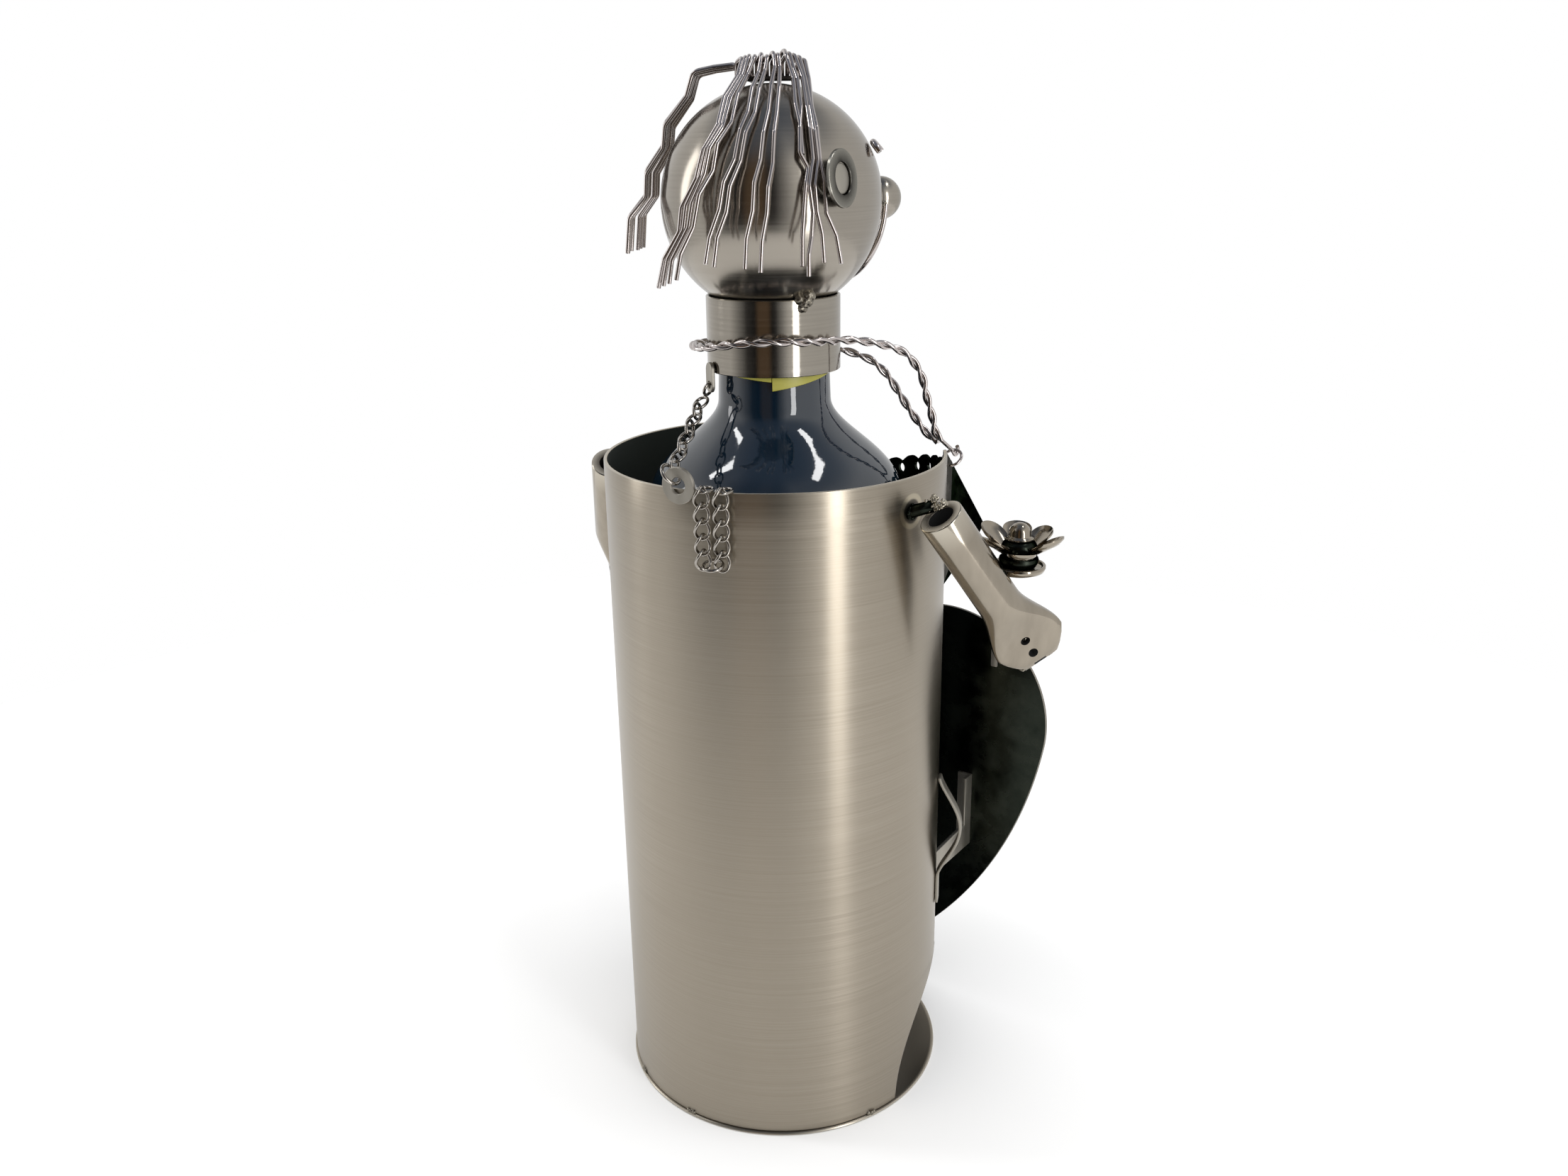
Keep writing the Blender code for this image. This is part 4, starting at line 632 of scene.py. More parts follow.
def make_body(columns=150, low_rows=22, high_rows=16):
    first = math.asin((BASE_THICKNESS + GAP) / NOTCH_HEIGHT)
    step = (math.pi / 2 - first) / low_rows
    heights = [NOTCH_HEIGHT * math.sin(first + step * row) for row in range(low_rows + 1)]
    straight = (SHELL_TOP - NOTCH_HEIGHT) / high_rows
    heights += [NOTCH_HEIGHT + straight * (row + 1) for row in range(high_rows)]
    sheet = bmesh.new()
    layers = []
    for radius in (SHELL_RADIUS, SHELL_RADIUS - SHELL_WALL):
        rows = []
        for height in heights:
            edge = edge_angle(height)
            turns = [edge + (360 - 2 * edge) * column / columns for column in range(columns + 1)]
            rows.append([sheet.verts.new(polar(turn, radius, height)) for turn in turns])
        for low, high in zip(rows, rows[1:]):
            for i in range(columns):
                sheet.faces.new((low[i], low[i + 1], high[i + 1], high[i]))
        layers.append(rows)
    outer, inner = layers
    for row in (0, -1):
        for i in range(columns):
            sheet.faces.new((outer[row][i], outer[row][i + 1], inner[row][i + 1], inner[row][i]))
    for end in (0, -1):
        for k in range(len(heights) - 1):
            sheet.faces.new((outer[k][end], outer[k + 1][end], inner[k + 1][end], inner[k][end]))
    middle = SHELL_RADIUS - SHELL_WALL / 2
    # Painted shade on the sheet's inner face.
    marks = {
        "inside": lambda point: math.hypot(point.x, point.y) < middle - 0.0001,
        "edge": lambda point: point.z > SHELL_TOP - 0.00012,
    }
    rounded = eased(sheet, CUT_ROUNDING, 2, 60)
    add("body_sheet", rounded, "body", "holder", ["body_shell"], marks)


def make_base():
    """A thin plate whose rim is rolled, so that it shows as a fine double line under the body."""
    rim, top, floor = BASE_RADIUS, BASE_THICKNESS, BASE_THICKNESS - 0.0001
    profile = [(0, 0.0), (rim - 0.0006, 0.0), (rim - 0.0002, 0.0002), (rim, 0.0005), (rim - 0.0001, 0.0008),
               (rim - 0.0004, top), (rim - 0.0012, top), (rim - 0.0015, floor), (0, floor)]
    # Painted shade on the plate's top within the body.
    marks = {"inside": lambda point: point.z > 0.0008 and point.to_2d().length < SHELL_RADIUS - 0.002,
             "edge": lambda point: point.to_2d().length > rim - 0.0003}
    add("base_disc", turned(profile, 160), "body", "holder", ["base_plate"], marks)


make_body()
make_base()

# %% [markdown]
# ## The bottle
# Glass is blown in a mould, so a bottle is a turned shape: a rounded foot, a straight wall, a shoulder
# and a neck with its ring. The dark glass is modelled as one solid, because nothing is seen through it.

# %% Bottle
BOTTLE_RADIUS, FOOT_RADIUS, NECK_RADIUS = 0.0375, 0.0335, 0.0162
SHOULDER_LOW, SHOULDER_HIGH, BOTTLE_TOP = 0.186, 0.218, 0.298
FOOT_ROUNDING, FOOT_RISE = BOTTLE_RADIUS - FOOT_RADIUS, 0.0045
MOUTH_PROFILE = ((0.0138, 0.2848), (0.0142, 0.2853), (0.0144, 0.2860), (0.0144, 0.2965), (0.0140, 0.2976),
                 (0.0132, BOTTLE_TOP), (0.0105, BOTTLE_TOP), (0.0098, 0.2972), (0.0098, 0.2900), (0, 0.2900))


def make_bottle(steps=28):
    foot = BASE_THICKNESS + GAP
    profile = [(0, foot + 0.002), (FOOT_RADIUS * 0.8, foot + 0.001), (FOOT_RADIUS - 0.001, foot)]
    for step in range(7):
        turn = math.pi / 2 * step / 6
        height = foot + FOOT_RISE * (1 - math.cos(turn))
        profile.append((FOOT_RADIUS + FOOT_ROUNDING * math.sin(turn), height))
    for step in range(steps + 1):
        share = step / steps
        swell = (1 + math.cos(math.pi * share**1.35)) / 2
        profile.append((NECK_RADIUS + (BOTTLE_RADIUS - NECK_RADIUS) * swell,
                        SHOULDER_LOW + (SHOULDER_HIGH - SHOULDER_LOW) * share))
    shape = turned([*profile, *MOUTH_PROFILE], 128)
    add("wine_bottle", shape, "glass", "bottle", ["bottle"], sharp=60)


make_bottle()

# %% [markdown]
# ## The head
# The head is two steel cups pressed from sheet, joined and ground, with a hole below for the bottle's
# neck. A turned half circle with a wall makes it. The collar is a short piece of tube. Places on the
# face are given as a turn from the nose and a rise above it, so the whole face turns with one number.

# %% Ball, collar, nose and ears
HEAD_RADIUS, HEAD_WALL, MOUTH_RADIUS, HEAD_TURN = 0.0305, 0.0009, 0.0168, -29.0
COLLAR_RADIUS, COLLAR_WALL, COLLAR_BOTTOM, COLLAR_HEIGHT = 0.019, 0.001, 0.2266, 0.0207
COLLAR_TOP = COLLAR_BOTTOM + COLLAR_HEIGHT
HEAD_CENTRE = UP * (COLLAR_TOP + math.sqrt((HEAD_RADIUS + GAP) ** 2 - (COLLAR_RADIUS - COLLAR_WALL) ** 2))
NOSE_RADIUS, NOSE_REACH = 0.006, 0.0343
EAR_HOLE, EAR_RADIUS, EAR_THICKNESS = 0.0041, 0.0073, 0.001


def on_ball(turn, rise, radius):
    """A place on the head, at this turn from the nose and this rise above it."""
    flat = polar(turn + HEAD_TURN, radius * math.cos(math.radians(rise)))
    return HEAD_CENTRE + flat + UP * radius * math.sin(math.radians(rise))


def ring_profile(inner, outer, thickness, round_off):
    """A washer's or a tube's section, with its four corners cut a little."""
    half = thickness / 2
    corners = ((inner, -half, 1, 1), (outer, -half, -1, 1), (outer, half, -1, -1), (inner, half, 1, -1))
    points = []
    for i, (radius, height, x, z) in enumerate(corners):
        pair = [(radius, height + z * round_off), (radius + x * round_off, height)]
        points += pair if i % 2 == 0 else reversed(pair)
    return points


def make_ball(rings=56):
    inner = HEAD_RADIUS - HEAD_WALL
    low = -math.acos(MOUTH_RADIUS / HEAD_RADIUS)
    low_inner = -math.acos(MOUTH_RADIUS / inner)
    profile = []
    for ring in range(rings + 1):
        angle = math.pi / 2 + (low - math.pi / 2) * ring / rings
        profile.append((HEAD_RADIUS * math.cos(angle) * (ring > 0), HEAD_RADIUS * math.sin(angle)))
    for ring in range(rings + 1):
        angle = low_inner + (math.pi / 2 - low_inner) * ring / rings
        profile.append((inner * math.cos(angle) * (ring < rings), inner * math.sin(angle)))
    shape = moved(turned(profile, 128), Matrix.Translation(HEAD_CENTRE))
    add("head_shell", shape, "ball", "head", ["head_ball"], sharp=60)


def make_collar():
    profile = ring_profile(COLLAR_RADIUS - COLLAR_WALL, COLLAR_RADIUS, COLLAR_HEIGHT, 0.00018)
    middle = UP * (COLLAR_BOTTOM + COLLAR_HEIGHT / 2)
    shape = moved(turned(profile, 128, closed=True), Matrix.Translation(middle))
    # Painted shade on the tube's inner face.
    marks = {"edge": lambda point: min(point.z - COLLAR_BOTTOM, COLLAR_TOP - point.z) < 0.0001,
             "inside": lambda point: math.hypot(point.x, point.y) < COLLAR_RADIUS - COLLAR_WALL * 0.6}
    add("collar_tube", shape, "collar", "head", ["neck_collar"], marks)


def make_nose():
    nose = bmesh.new()
    bmesh.ops.create_uvsphere(nose, u_segments=48, v_segments=32, radius=NOSE_RADIUS)
    axis = along(on_ball(0, 0, 1) - HEAD_CENTRE, UP, on_ball(0, 0, NOSE_REACH))
    add("nose_ball", moved(nose, axis), "ball", "head", ["nose"])


def make_ears():
    """Each washer faces a way of its own, and moves out along its line until no corner cuts the ball."""
    inner, outer, thickness, clear = EAR_HOLE, EAR_RADIUS, EAR_THICKNESS, HEAD_RADIUS + GAP
    wall = inner - 0.0003
    plug = [(0, -0.0016), (wall, -0.0016), (wall, -0.0001), (inner - 0.0007, 0.0001), (0, 0.0003)]
    for side, word in ((-1, "right"), (1, "left")):
        out = (on_ball(side * 82, 11, 1) - HEAD_CENTRE).normalized()
        face = (on_ball(side * 57, 6, 1) - HEAD_CENTRE).normalized()
        frame = along(face)
        reach = 0.0
        for radius in (inner, outer):
            for k in range(16):
                offset = frame @ polar(22.5 * k, radius) - face * thickness / 2
                lean = out.dot(offset)
                reach = max(reach, math.sqrt(lean**2 - offset.length_squared + clear**2) - lean)
        place = Matrix.Translation(HEAD_CENTRE + out * reach) @ frame
        back = place.inverted()
        marks = {"edge": lambda point, back=back: (back @ point).to_2d().length > outer - 0.0002}
        shape = moved(turned(ring_profile(inner, outer, thickness, 0.00015), 64, closed=True), place)
        add(f"ear_{word}", shape, "ear", "head", [f"ear_washer_{word}"], marks)
        # A plug of weld, ground flat, fills the washer's hole.
        add(f"plug_{word}", moved(turned(plug, 48), place), "satin", "head")


make_ball()
make_collar()
make_nose()
make_ears()

# %% [markdown]
# ## The liner
# A strip of yellow film is rolled inside the collar, so that the steel doesn't scratch the glass. It was
# cut askew: one end hangs low, and the film climbs as it goes round. Its ends meet at the back, where a
# step shows.

# %% Liner
LINER_WALL, LINER_HEIGHT, LINER_SEAM, LINER_REACH = 0.0006, 0.016, -146.0, 359.4
LOW_TAIL, LOW_SHARE = 0.0042, 0.19
END_TAIL, END_SHARE = 0.0017, 0.14


def make_liner(columns=120):
    outer = COLLAR_RADIUS - COLLAR_WALL - GAP
    inner = outer - LINER_WALL
    top = COLLAR_BOTTOM + LINER_HEIGHT
    rings = []
    for k in range(columns + 1):
        share = k / columns
        first = LOW_TAIL * (1 - min(share / LOW_SHARE, 1)) ** 0.8
        last = END_TAIL * max((share - (1 - END_SHARE)) / END_SHARE, 0)
        low, turn = COLLAR_BOTTOM - (first + last - GAP), LINER_SEAM + LINER_REACH * share
        corners = ((outer, low), (outer, top), (inner, top), (inner, low))
        rings.append([polar(turn, radius, height) for radius, height in corners])
    add("liner_film", eased(lofted(rings), 0.0001, 1, 60), "film", "liner", ["neck_liner"])


make_liner()

# %% [markdown]
# ## Wire
# Hair, smile, eyelids and rings are all round wire, so one tree draws them. It turns each line of a
# carrier into a curve, rounds its corners to the bend that a former leaves in wire, and sweeps a circle
# along it.

# %% The wire tree, with the smile, the eyelids and the rings
def make_wire_tree():
    tree, inputs = new_tree("round wire", Radius=0.001, Bend=0.001, Steps=5, Sides=12)
    curve = node(tree, "GeometryNodeMeshToCurve", {0: inputs["Geometry"]}).outputs[0]
    rounding = {"Curve": curve, "Count": inputs["Steps"], "Radius": inputs["Bend"], "Limit Radius": True}
    bent = node(tree, "GeometryNodeFilletCurve", rounding, mode="POLY").outputs[0]
    size = {"Resolution": inputs["Sides"], "Radius": inputs["Radius"]}
    circle = node(tree, "GeometryNodeCurvePrimitiveCircle", size).outputs[0]
    sweep = {"Curve": bent, "Profile Curve": circle, "Fill Caps": True}
    end_tree(tree, node(tree, "GeometryNodeCurveToMesh", sweep).outputs[0], inputs["Finish"])
    return tree


WIRE = make_wire_tree()
SMILE_RADIUS, LID_RADIUS, LID_REACH = 0.00075, 0.0009, 0.003


def add_wire(name, lines, radius, look, body, nodes=(), loop=False, bend=0.0, sides=16):
    """Round wire along each line. bend is the rounding of its corners, and loop closes every line."""
    host = carrier(loops=lines) if loop else carrier(lines=lines)
    mesh = grow(WIRE, host, look, Radius=radius, Bend=bend, Steps=5, Sides=sides)
    return add(name, mesh, look, body, nodes)


def ring_of(radius, matrix, count=48):
    return [matrix @ polar(360 * i / count, radius) for i in range(count)]


def make_smile(points=41):
    """From 43 degrees under the nose it climbs on both sides, nearly to the nose's height."""
    line = []
    for k in range(points):
        share = 2 * k / (points - 1) - 1
        rise = -43 + 41 * abs(share) ** 2.2
        line.append(on_ball(24 * math.sin(share * math.pi / 2), rise, HEAD_RADIUS + SMILE_RADIUS + GAP))
    add_wire("smile", [line], SMILE_RADIUS, "wire", "head", ["smile_wire"])


def make_eyelids():
    for side, word in ((-1, "right"), (1, "left")):
        reach = math.sqrt((HEAD_RADIUS + GAP + LID_RADIUS) ** 2 - LID_REACH**2)
        middle = on_ball(side * 33, 23, reach)
        out = (middle - HEAD_CENTRE).normalized()
        across = UP.cross(out).normalized()
        top = out.cross(across)
        line = []
        for k in range(21):
            turn = math.pi * k / 20
            bow = (across * math.cos(turn) + top * math.sin(turn)) * LID_REACH
            line.append(middle + bow + out * LID_RADIUS * (1 - math.sin(turn)))
        add_wire(f"lid_{word}", [line], LID_RADIUS, "wire", "head", [f"eyelid_{word}"])


make_smile()
make_eyelids()

# %% [markdown]
# ## Hair
# Two bundles of straight wire were bent in a zigzag on a former, fanned out, and welded to the crown.
# The back wires hang in a bell about the head. Each bend of theirs is a pixel of the photograph, and the
# script looks along the camera's line through that pixel to where it meets the bell, so the bends come out
# in space. The side wires share one row of bends, given as reach and rise in head radii. The tree's fillet
# turns the corners into the soft bends of real wire. Each wire first climbs from the weld, which makes the
# arch on the crown.

# %% Lines of sight, and the bell that the back hair hangs in
PHOTO_WIDTH, PHOTO_HEIGHT = 2212, 1659
# The bell's reach and rise, in head radii, from the crown down.
BELL = ((0.0, 1.33), (0.26, 1.235), (0.387, 1.049), (0.623, 0.902), (0.754, 0.738), (0.967, 0.525),
        (1.010, 0.311), (1.148, 0.098), (1.164, -0.115), (1.272, -0.377), (1.279, -0.574), (1.290, -0.9))


def bell_gap(point):
    """How far a point is outside the bell, in head radii."""
    own = (point - HEAD_CENTRE) / HEAD_RADIUS
    for (upper_reach, upper), (lower_reach, lower) in zip(BELL, BELL[1:]):
        if lower <= own.z <= upper:
            share = (upper - own.z) / (upper - lower)
            return own.to_2d().length - upper_reach - (lower_reach - upper_reach) * share
    return 1.0


def on_bell(pixel, steps=160):
    """Where the camera's line of sight through a pixel first meets the bell."""
    scale = camera.data.sensor_width / camera.data.lens / PHOTO_WIDTH
    aim = Vector(((pixel[0] - PHOTO_WIDTH / 2) * scale, (PHOTO_HEIGHT / 2 - pixel[1]) * scale, -1))
    sight = (camera.rotation_euler.to_matrix() @ aim).normalized()
    middle = camera.location + sight * (HEAD_CENTRE - camera.location).dot(sight)
    spots = [middle + sight * HEAD_RADIUS * (3.2 * k / steps - 1.6) for k in range(steps + 1)]
    near, far = next((pair for pair in zip(spots, spots[1:]) if bell_gap(pair[1]) < 0), (middle, middle))
    for _ in range(20):
        half = near.lerp(far, 0.5)
        near, far = (near, half) if bell_gap(half) < 0 else (half, far)
    return far


print("the bell is", round(BELL[-1][0] * HEAD_RADIUS, 4), "m in radius at its foot")

# %% Two bundles of crimped wire
BACK_BEND_PIXELS = (
    ((1048, 80), (1040, 108), (1021, 138), (1012, 177), (991, 213), (982, 252), (961, 293),
     (958, 327), (937, 365), (929, 406)),
    ((1053, 78), (1044, 108), (1026, 138), (1016, 178), (996, 211), (988, 248), (968, 290),
     (964, 324), (942, 366), (936, 403)),
    ((1058, 76), (1048, 108), (1031, 139), (1020, 179), (1001, 209), (994, 245), (976, 287),
     (971, 321), (948, 367), (944, 400)),
    ((1066, 77), (1055, 105), (1041, 133), (1032, 173), (1012, 203), (1006, 241), (986, 275),
     (978, 321), (960, 359), (954, 395)),
    ((1075, 74), (1070, 103), (1061, 124), (1055, 158), (1044, 183), (1036, 225), (1021, 257),
     (1015, 295), (1001, 335), (995, 373)),
    ((1083, 78), (1079, 100), (1071, 125), (1065, 159), (1052, 187), (1045, 227), (1030, 263),
     (1025, 299), (1012, 335), (1007, 377)),
    ((1091, 72), (1093, 95), (1088, 119), (1084, 157), (1077, 187), (1073, 225), (1064, 257),
     (1062, 297), (1053, 337), (1051, 380)),
    ((1098, 75), (1100, 95), (1099, 123), (1096, 158), (1092, 187), (1090, 231), (1084, 263),
     (1082, 301), (1075, 341), (1073, 385)),
    ((1106, 69), (1109, 78), (1111, 85), (1119, 111), (1122, 147), (1129, 177), (1132, 218)),
    ((1113, 71), (1119, 95), (1125, 112), (1130, 150), (1128, 180), (1128, 215), (1140, 237),
     (1137, 258), (1134, 300), (1132, 335), (1132, 376)),
    ((1119, 72), (1132, 110), (1138, 150), (1143, 182), (1147, 225), (1142, 262), (1147, 300),
     (1145, 335), (1141, 360), (1141, 390)),
    ((1127, 76), (1136, 112), (1143, 150), (1149, 185), (1154, 228), (1150, 262), (1153, 300),
     (1160, 330), (1163, 371)),
    ((1135, 83), (1141, 112), (1145, 150), (1152, 180), (1157, 227), (1163, 255), (1166, 301),
     (1180, 333), (1187, 372)),
)
SIDE_ROUTE = (
    (0.33, 1.150), (0.502, 1.131), (0.672, 1.098), (0.738, 0.905), (0.934, 0.675), (0.957, 0.489),
    (1.115, 0.275), (1.131, 0.072), (1.285, -0.105), (1.318, -0.416),
)
# How far each side wire fans out, in degrees.
SIDE_FAN = (-17, -14, -11, -3, 2, 5, 8, 12)
HAIR_RADIUS, HAIR_PITCH, HAIR_BEND, HAIR_LEAN = 0.00058, 0.00135, 0.0022, 0.0020
WELD_DEPTH, WELD_THICKNESS = 0.004, 0.0012
BACK_TURN, SIDE_TURN = -115, 150


def side_wire(turn, fan, offset):
    """The bends of one side wire. Near the crown it keeps beside its neighbours, and then it fans out."""
    longest = SIDE_ROUTE[-1][0]
    bends = []
    for reach, rise in SIDE_ROUTE:
        away = (on_ball(turn + fan * reach / longest, 0, 1) - HEAD_CENTRE).normalized()
        uneven = 0.014 * math.sin(2.4 * fan + 3 * rise) - 0.0011 * abs(fan)
        bends.append(HEAD_CENTRE + (away * reach + UP * (rise + uneven)) * HEAD_RADIUS
                     + offset * (1 - reach / longest))
    return bends


def make_hair(name, solid, turn, shift, start, climb, count, bends_of):
    """A weld bar on the crown, and the wires that rise from it.

    turn is the way they leave it, start how far the bar is from the crown, shift its slide along itself,
    and climb the arch's height. bends_of gives a wire's bends from its number and its offset.
    """
    out = (on_ball(turn, 0, 1) - HEAD_CENTRE).normalized()
    across = UP.cross(out)
    seat = math.sqrt((HEAD_RADIUS + GAP) ** 2 - max(abs(start) - 0.002, 0) ** 2)
    base = HEAD_CENTRE + out * start + UP * (seat + 0.0008)
    lines = []
    for k in range(count):
        offset = across * (shift + HAIR_PITCH * (k - (count - 1) / 2))
        root = base + offset
        lines.append([root, root + out * HAIR_LEAN + UP * climb, *bends_of(k, offset)])
    add_wire(name, lines, HAIR_RADIUS, "wire", "head", [solid], bend=HAIR_BEND, sides=12)
    bar = bmesh.new()
    bmesh.ops.create_cube(bar, size=1)
    size = Matrix.Diagonal((WELD_DEPTH, HAIR_PITCH * (count - 1) + 0.0016, WELD_THICKNESS, 1))
    frame = Matrix((out, across, UP)).transposed().to_4x4()
    bar = moved(bar, Matrix.Translation(base + across * shift) @ frame @ size)
    add(name + "_bar", eased(bar, 0.0005, 3), "ear", "head")


make_hair("hair_back", "back_hair", BACK_TURN, -0.0007, -0.001, 0.0040, len(BACK_BEND_PIXELS),
          lambda k, offset: [on_bell(pixel) for pixel in BACK_BEND_PIXELS[k]])
make_hair("hair_side", "side_hair", SIDE_TURN, -0.0042, 0.0042, 0.0024, len(SIDE_FAN),
          lambda k, offset: side_wire(SIDE_TURN, SIDE_FAN[k], offset))

# %% [markdown]
# ## Chain
# A curb chain's link is an oval that is rolled on by a quarter turn from end to end, so that every link
# hangs in the last one at the same angle. The tree draws one such link from a circle, sets it on evenly
# spaced points of a line, and turns it to the line's own direction. The surplus loop hangs so. The run
# up to the head is drawn by the same tree with no roll, as two rows of flat links, each row turned by a
# quarter from the other. Single wires are the two links that lie over the rim and the one in the tab of
# the collar.

# %% The chain tree
LINK_WIRE, LINK_WIDTH, LINK_PLAY = 0.00045, 0.0049, 0.00045
HOOK = LINK_WIRE * 2 + LINK_PLAY
LINK_HALF_WIDTH = LINK_WIDTH / 2 - LINK_WIRE


def make_chain_tree():
    tree, inputs = new_tree("hung links", Links=8, Length=0.005, Width=0.004, Radius=0.0005, Roll=1.5708,
                            Normal=(0.0, 0.0, 1.0))
    circle = node(tree, "GeometryNodeCurvePrimitiveCircle", {"Resolution": 36, "Radius": 1.0}).outputs[0]
    position = node(tree, "GeometryNodeInputPosition").outputs[0]
    flat = node(tree, "ShaderNodeSeparateXYZ", {0: position}).outputs
    share = math_node(tree, "MULTIPLY", math_node(tree, "ADD", flat["X"], 1.0), 0.5)
    half = math_node(tree, "MULTIPLY", inputs["Width"], 0.5)
    wide = math_node(tree, "MULTIPLY", flat["Y"], half)
    turn = math_node(tree, "MULTIPLY", share, inputs["Roll"])
    oval = node(tree, "ShaderNodeCombineXYZ", {
        0: math_node(tree, "MULTIPLY", share, inputs["Length"]),
        1: math_node(tree, "MULTIPLY", wide, math_node(tree, "COSINE", turn)),
        2: math_node(tree, "MULTIPLY", wide, math_node(tree, "SINE", turn)),
    }).outputs[0]
    line = node(tree, "GeometryNodeSetPosition", {"Geometry": circle, "Position": oval}).outputs[0]
    thick = {"Resolution": 10, "Radius": inputs["Radius"]}
    section = node(tree, "GeometryNodeCurvePrimitiveCircle", thick).outputs[0]
    link = node(tree, "GeometryNodeCurveToMesh", {"Curve": line, "Profile Curve": section}).outputs[0]
    path = node(tree, "GeometryNodeMeshToCurve", {0: inputs["Geometry"]}).outputs[0]
    spots = node(tree, "GeometryNodeResampleCurve", {"Curve": path, "Count": inputs["Links"]}).outputs[0]
    tangent = node(tree, "GeometryNodeInputTangent").outputs[0]
    lined = node(tree, "FunctionNodeAlignRotationToVector", {"Vector": tangent}, axis="X").outputs[0]
    upright = {"Rotation": lined, "Vector": inputs["Normal"]}
    squared = node(tree, "FunctionNodeAlignRotationToVector", upright, axis="Z", pivot_axis="X").outputs[0]
    placed = {"Points": spots, "Instance": link, "Rotation": squared}
    hung = node(tree, "GeometryNodeInstanceOnPoints", placed).outputs[0]
    end_tree(tree, hung, inputs["Finish"])
    return tree


CHAIN = make_chain_tree()


def add_chain(name, lines, count, pitch, normal, body, nodes, roll=math.pi / 2):
    """Links along each line. A line runs from the first link's near end to the last link's near end."""
    mesh = grow(CHAIN, carrier(lines=lines), "chain", Links=count, Length=pitch + HOOK,
                Width=LINK_WIDTH - LINK_WIRE * 2, Radius=LINK_WIRE, Roll=roll, Normal=tuple(normal))
    return add(name, mesh, "chain", body, nodes)


print("a link's wire is", LINK_WIRE * 2, "m thick")

# %% Washer, ring, the run up to the head and the surplus loop
WASHER_RADIUS, WASHER_HOLE, RING_RADIUS, RING_WIRE = 0.005, 0.0022, 0.0029, 0.0005
CHAIN_TURN, LOOP_TURN = -174, -162.3
RIM_LINK_REACH, LOOP_PITCH, LOOP_SPACING = 0.0534, 0.0042, 0.0053
TAB_TURN, TAB_LENGTH, TAB_WIDTH, TAB_THICKNESS, TAB_FALL = HEAD_TURN + 180, 0.0085, 0.0044, 0.001, 0.0055


def chain_end():
    """Where the last solid link of the run ends, a little below the tab."""
    return polar(TAB_TURN, 0.0222, COLLAR_BOTTOM - TAB_FALL - 0.0012)


def oval_of(middle, along_it, over_it, long, wide, count=40):
    """A link's line. long and wide are its half sizes."""
    turns = [math.tau * k / count for k in range(count)]
    return [middle + along_it * long * math.cos(turn) + over_it * wide * math.sin(turn) for turn in turns]


def make_washer_and_run(links=8):
    out = polar(CHAIN_TURN, 1)
    centre = polar(CHAIN_TURN, SHELL_RADIUS + GAP + 0.0005, SHELL_TOP + 0.0012)
    place = Matrix.Translation(centre) @ along(out)
    back = place.inverted()
    marks = {"edge": lambda point: (back @ point).to_2d().length > WASHER_RADIUS - 0.0002}
    profile = ring_profile(WASHER_HOLE, WASHER_RADIUS, 0.001, 0.0002)
    add("washer_on_rim", moved(turned(profile, 64, closed=True), place), "satin", "holder",
        ["rim_washer"], marks)
    lean = Matrix.Rotation(math.radians(40), 3, out) @ UP
    middle = centre + lean * (WASHER_HOLE + WASHER_RADIUS) / 2
    axis = lean.cross(out)
    ring = ring_of(RING_RADIUS, Matrix.Translation(middle) @ along(axis))
    add_wire("ring_in_washer", [ring], RING_WIRE, "chain", "holder", ["jump_ring"], loop=True)
    high = chain_end()
    side = axis.normalized()
    far = high - middle
    flat = (far - side * far.dot(side)).normalized()
    hooked = middle + flat * RING_RADIUS
    span = (high - hooked).normalized()
    start = hooked - span * (RING_WIRE + LINK_WIRE + LINK_PLAY)
    pitch = ((high - start).length - HOOK) / links
    # A plain chain: every second link is turned by a quarter, and the camera sees both kinds at a slant.
    seen = (VIEW - span * VIEW.dot(span)).normalized()
    for first, lean, word in ((0, 1, "odd"), (1, -1, "even")):
        near = start + span * pitch * first
        row = [near, near + span * pitch * (links - 2)]
        nodes = [f"chain_link_{k}" for k in range(first + 1, links + 1, 2)]
        normal = seen + span.cross(seen) * lean
        add_chain(f"chain_to_head_{word}", [row], links // 2, pitch, normal, "holder", nodes, roll=0.0)


def make_surplus(links=5, pitch=LOOP_PITCH, spacing=LOOP_SPACING):
    out = polar(LOOP_TURN, 1)
    across = UP.cross(out)
    hinge = polar(LOOP_TURN, RIM_LINK_REACH, SHELL_TOP + GAP + LINK_WIRE)
    start = hinge + UP * HOOK
    sides = ((1, "right"), (-1, "left"))
    long = (pitch + HOOK) / 2
    down = []
    for side, word in sides:
        beside = across * side * spacing / 2
        oval = oval_of(hinge + beside - out * long, out, across, long, LINK_HALF_WIDTH)
        solid = f"rim_link_{word}"
        add_wire(f"link_over_rim_{word}", [oval], LINK_WIRE, "chain", "holder", [solid], loop=True)
        down.append([start + beside, start + beside - UP * pitch * (links - 1)])
    nodes = [f"strand_{word}_link_{k}" for side, word in sides for k in range(1, links + 1)]
    add_chain("chain_loop", down, links, pitch, across, "chain_surplus", nodes)
    low = start - UP * (pitch * links + HOOK - 0.0015)
    frame = Matrix.Translation(low) @ along(UP, out) @ Matrix.Rotation(math.radians(15), 4, "Y")
    ring = ring_of(spacing / 2, frame)
    add_wire("loop_end_ring", [ring], LINK_WIRE, "chain", "chain_surplus", ["foot_link"], loop=True)


make_washer_and_run()
make_surplus()


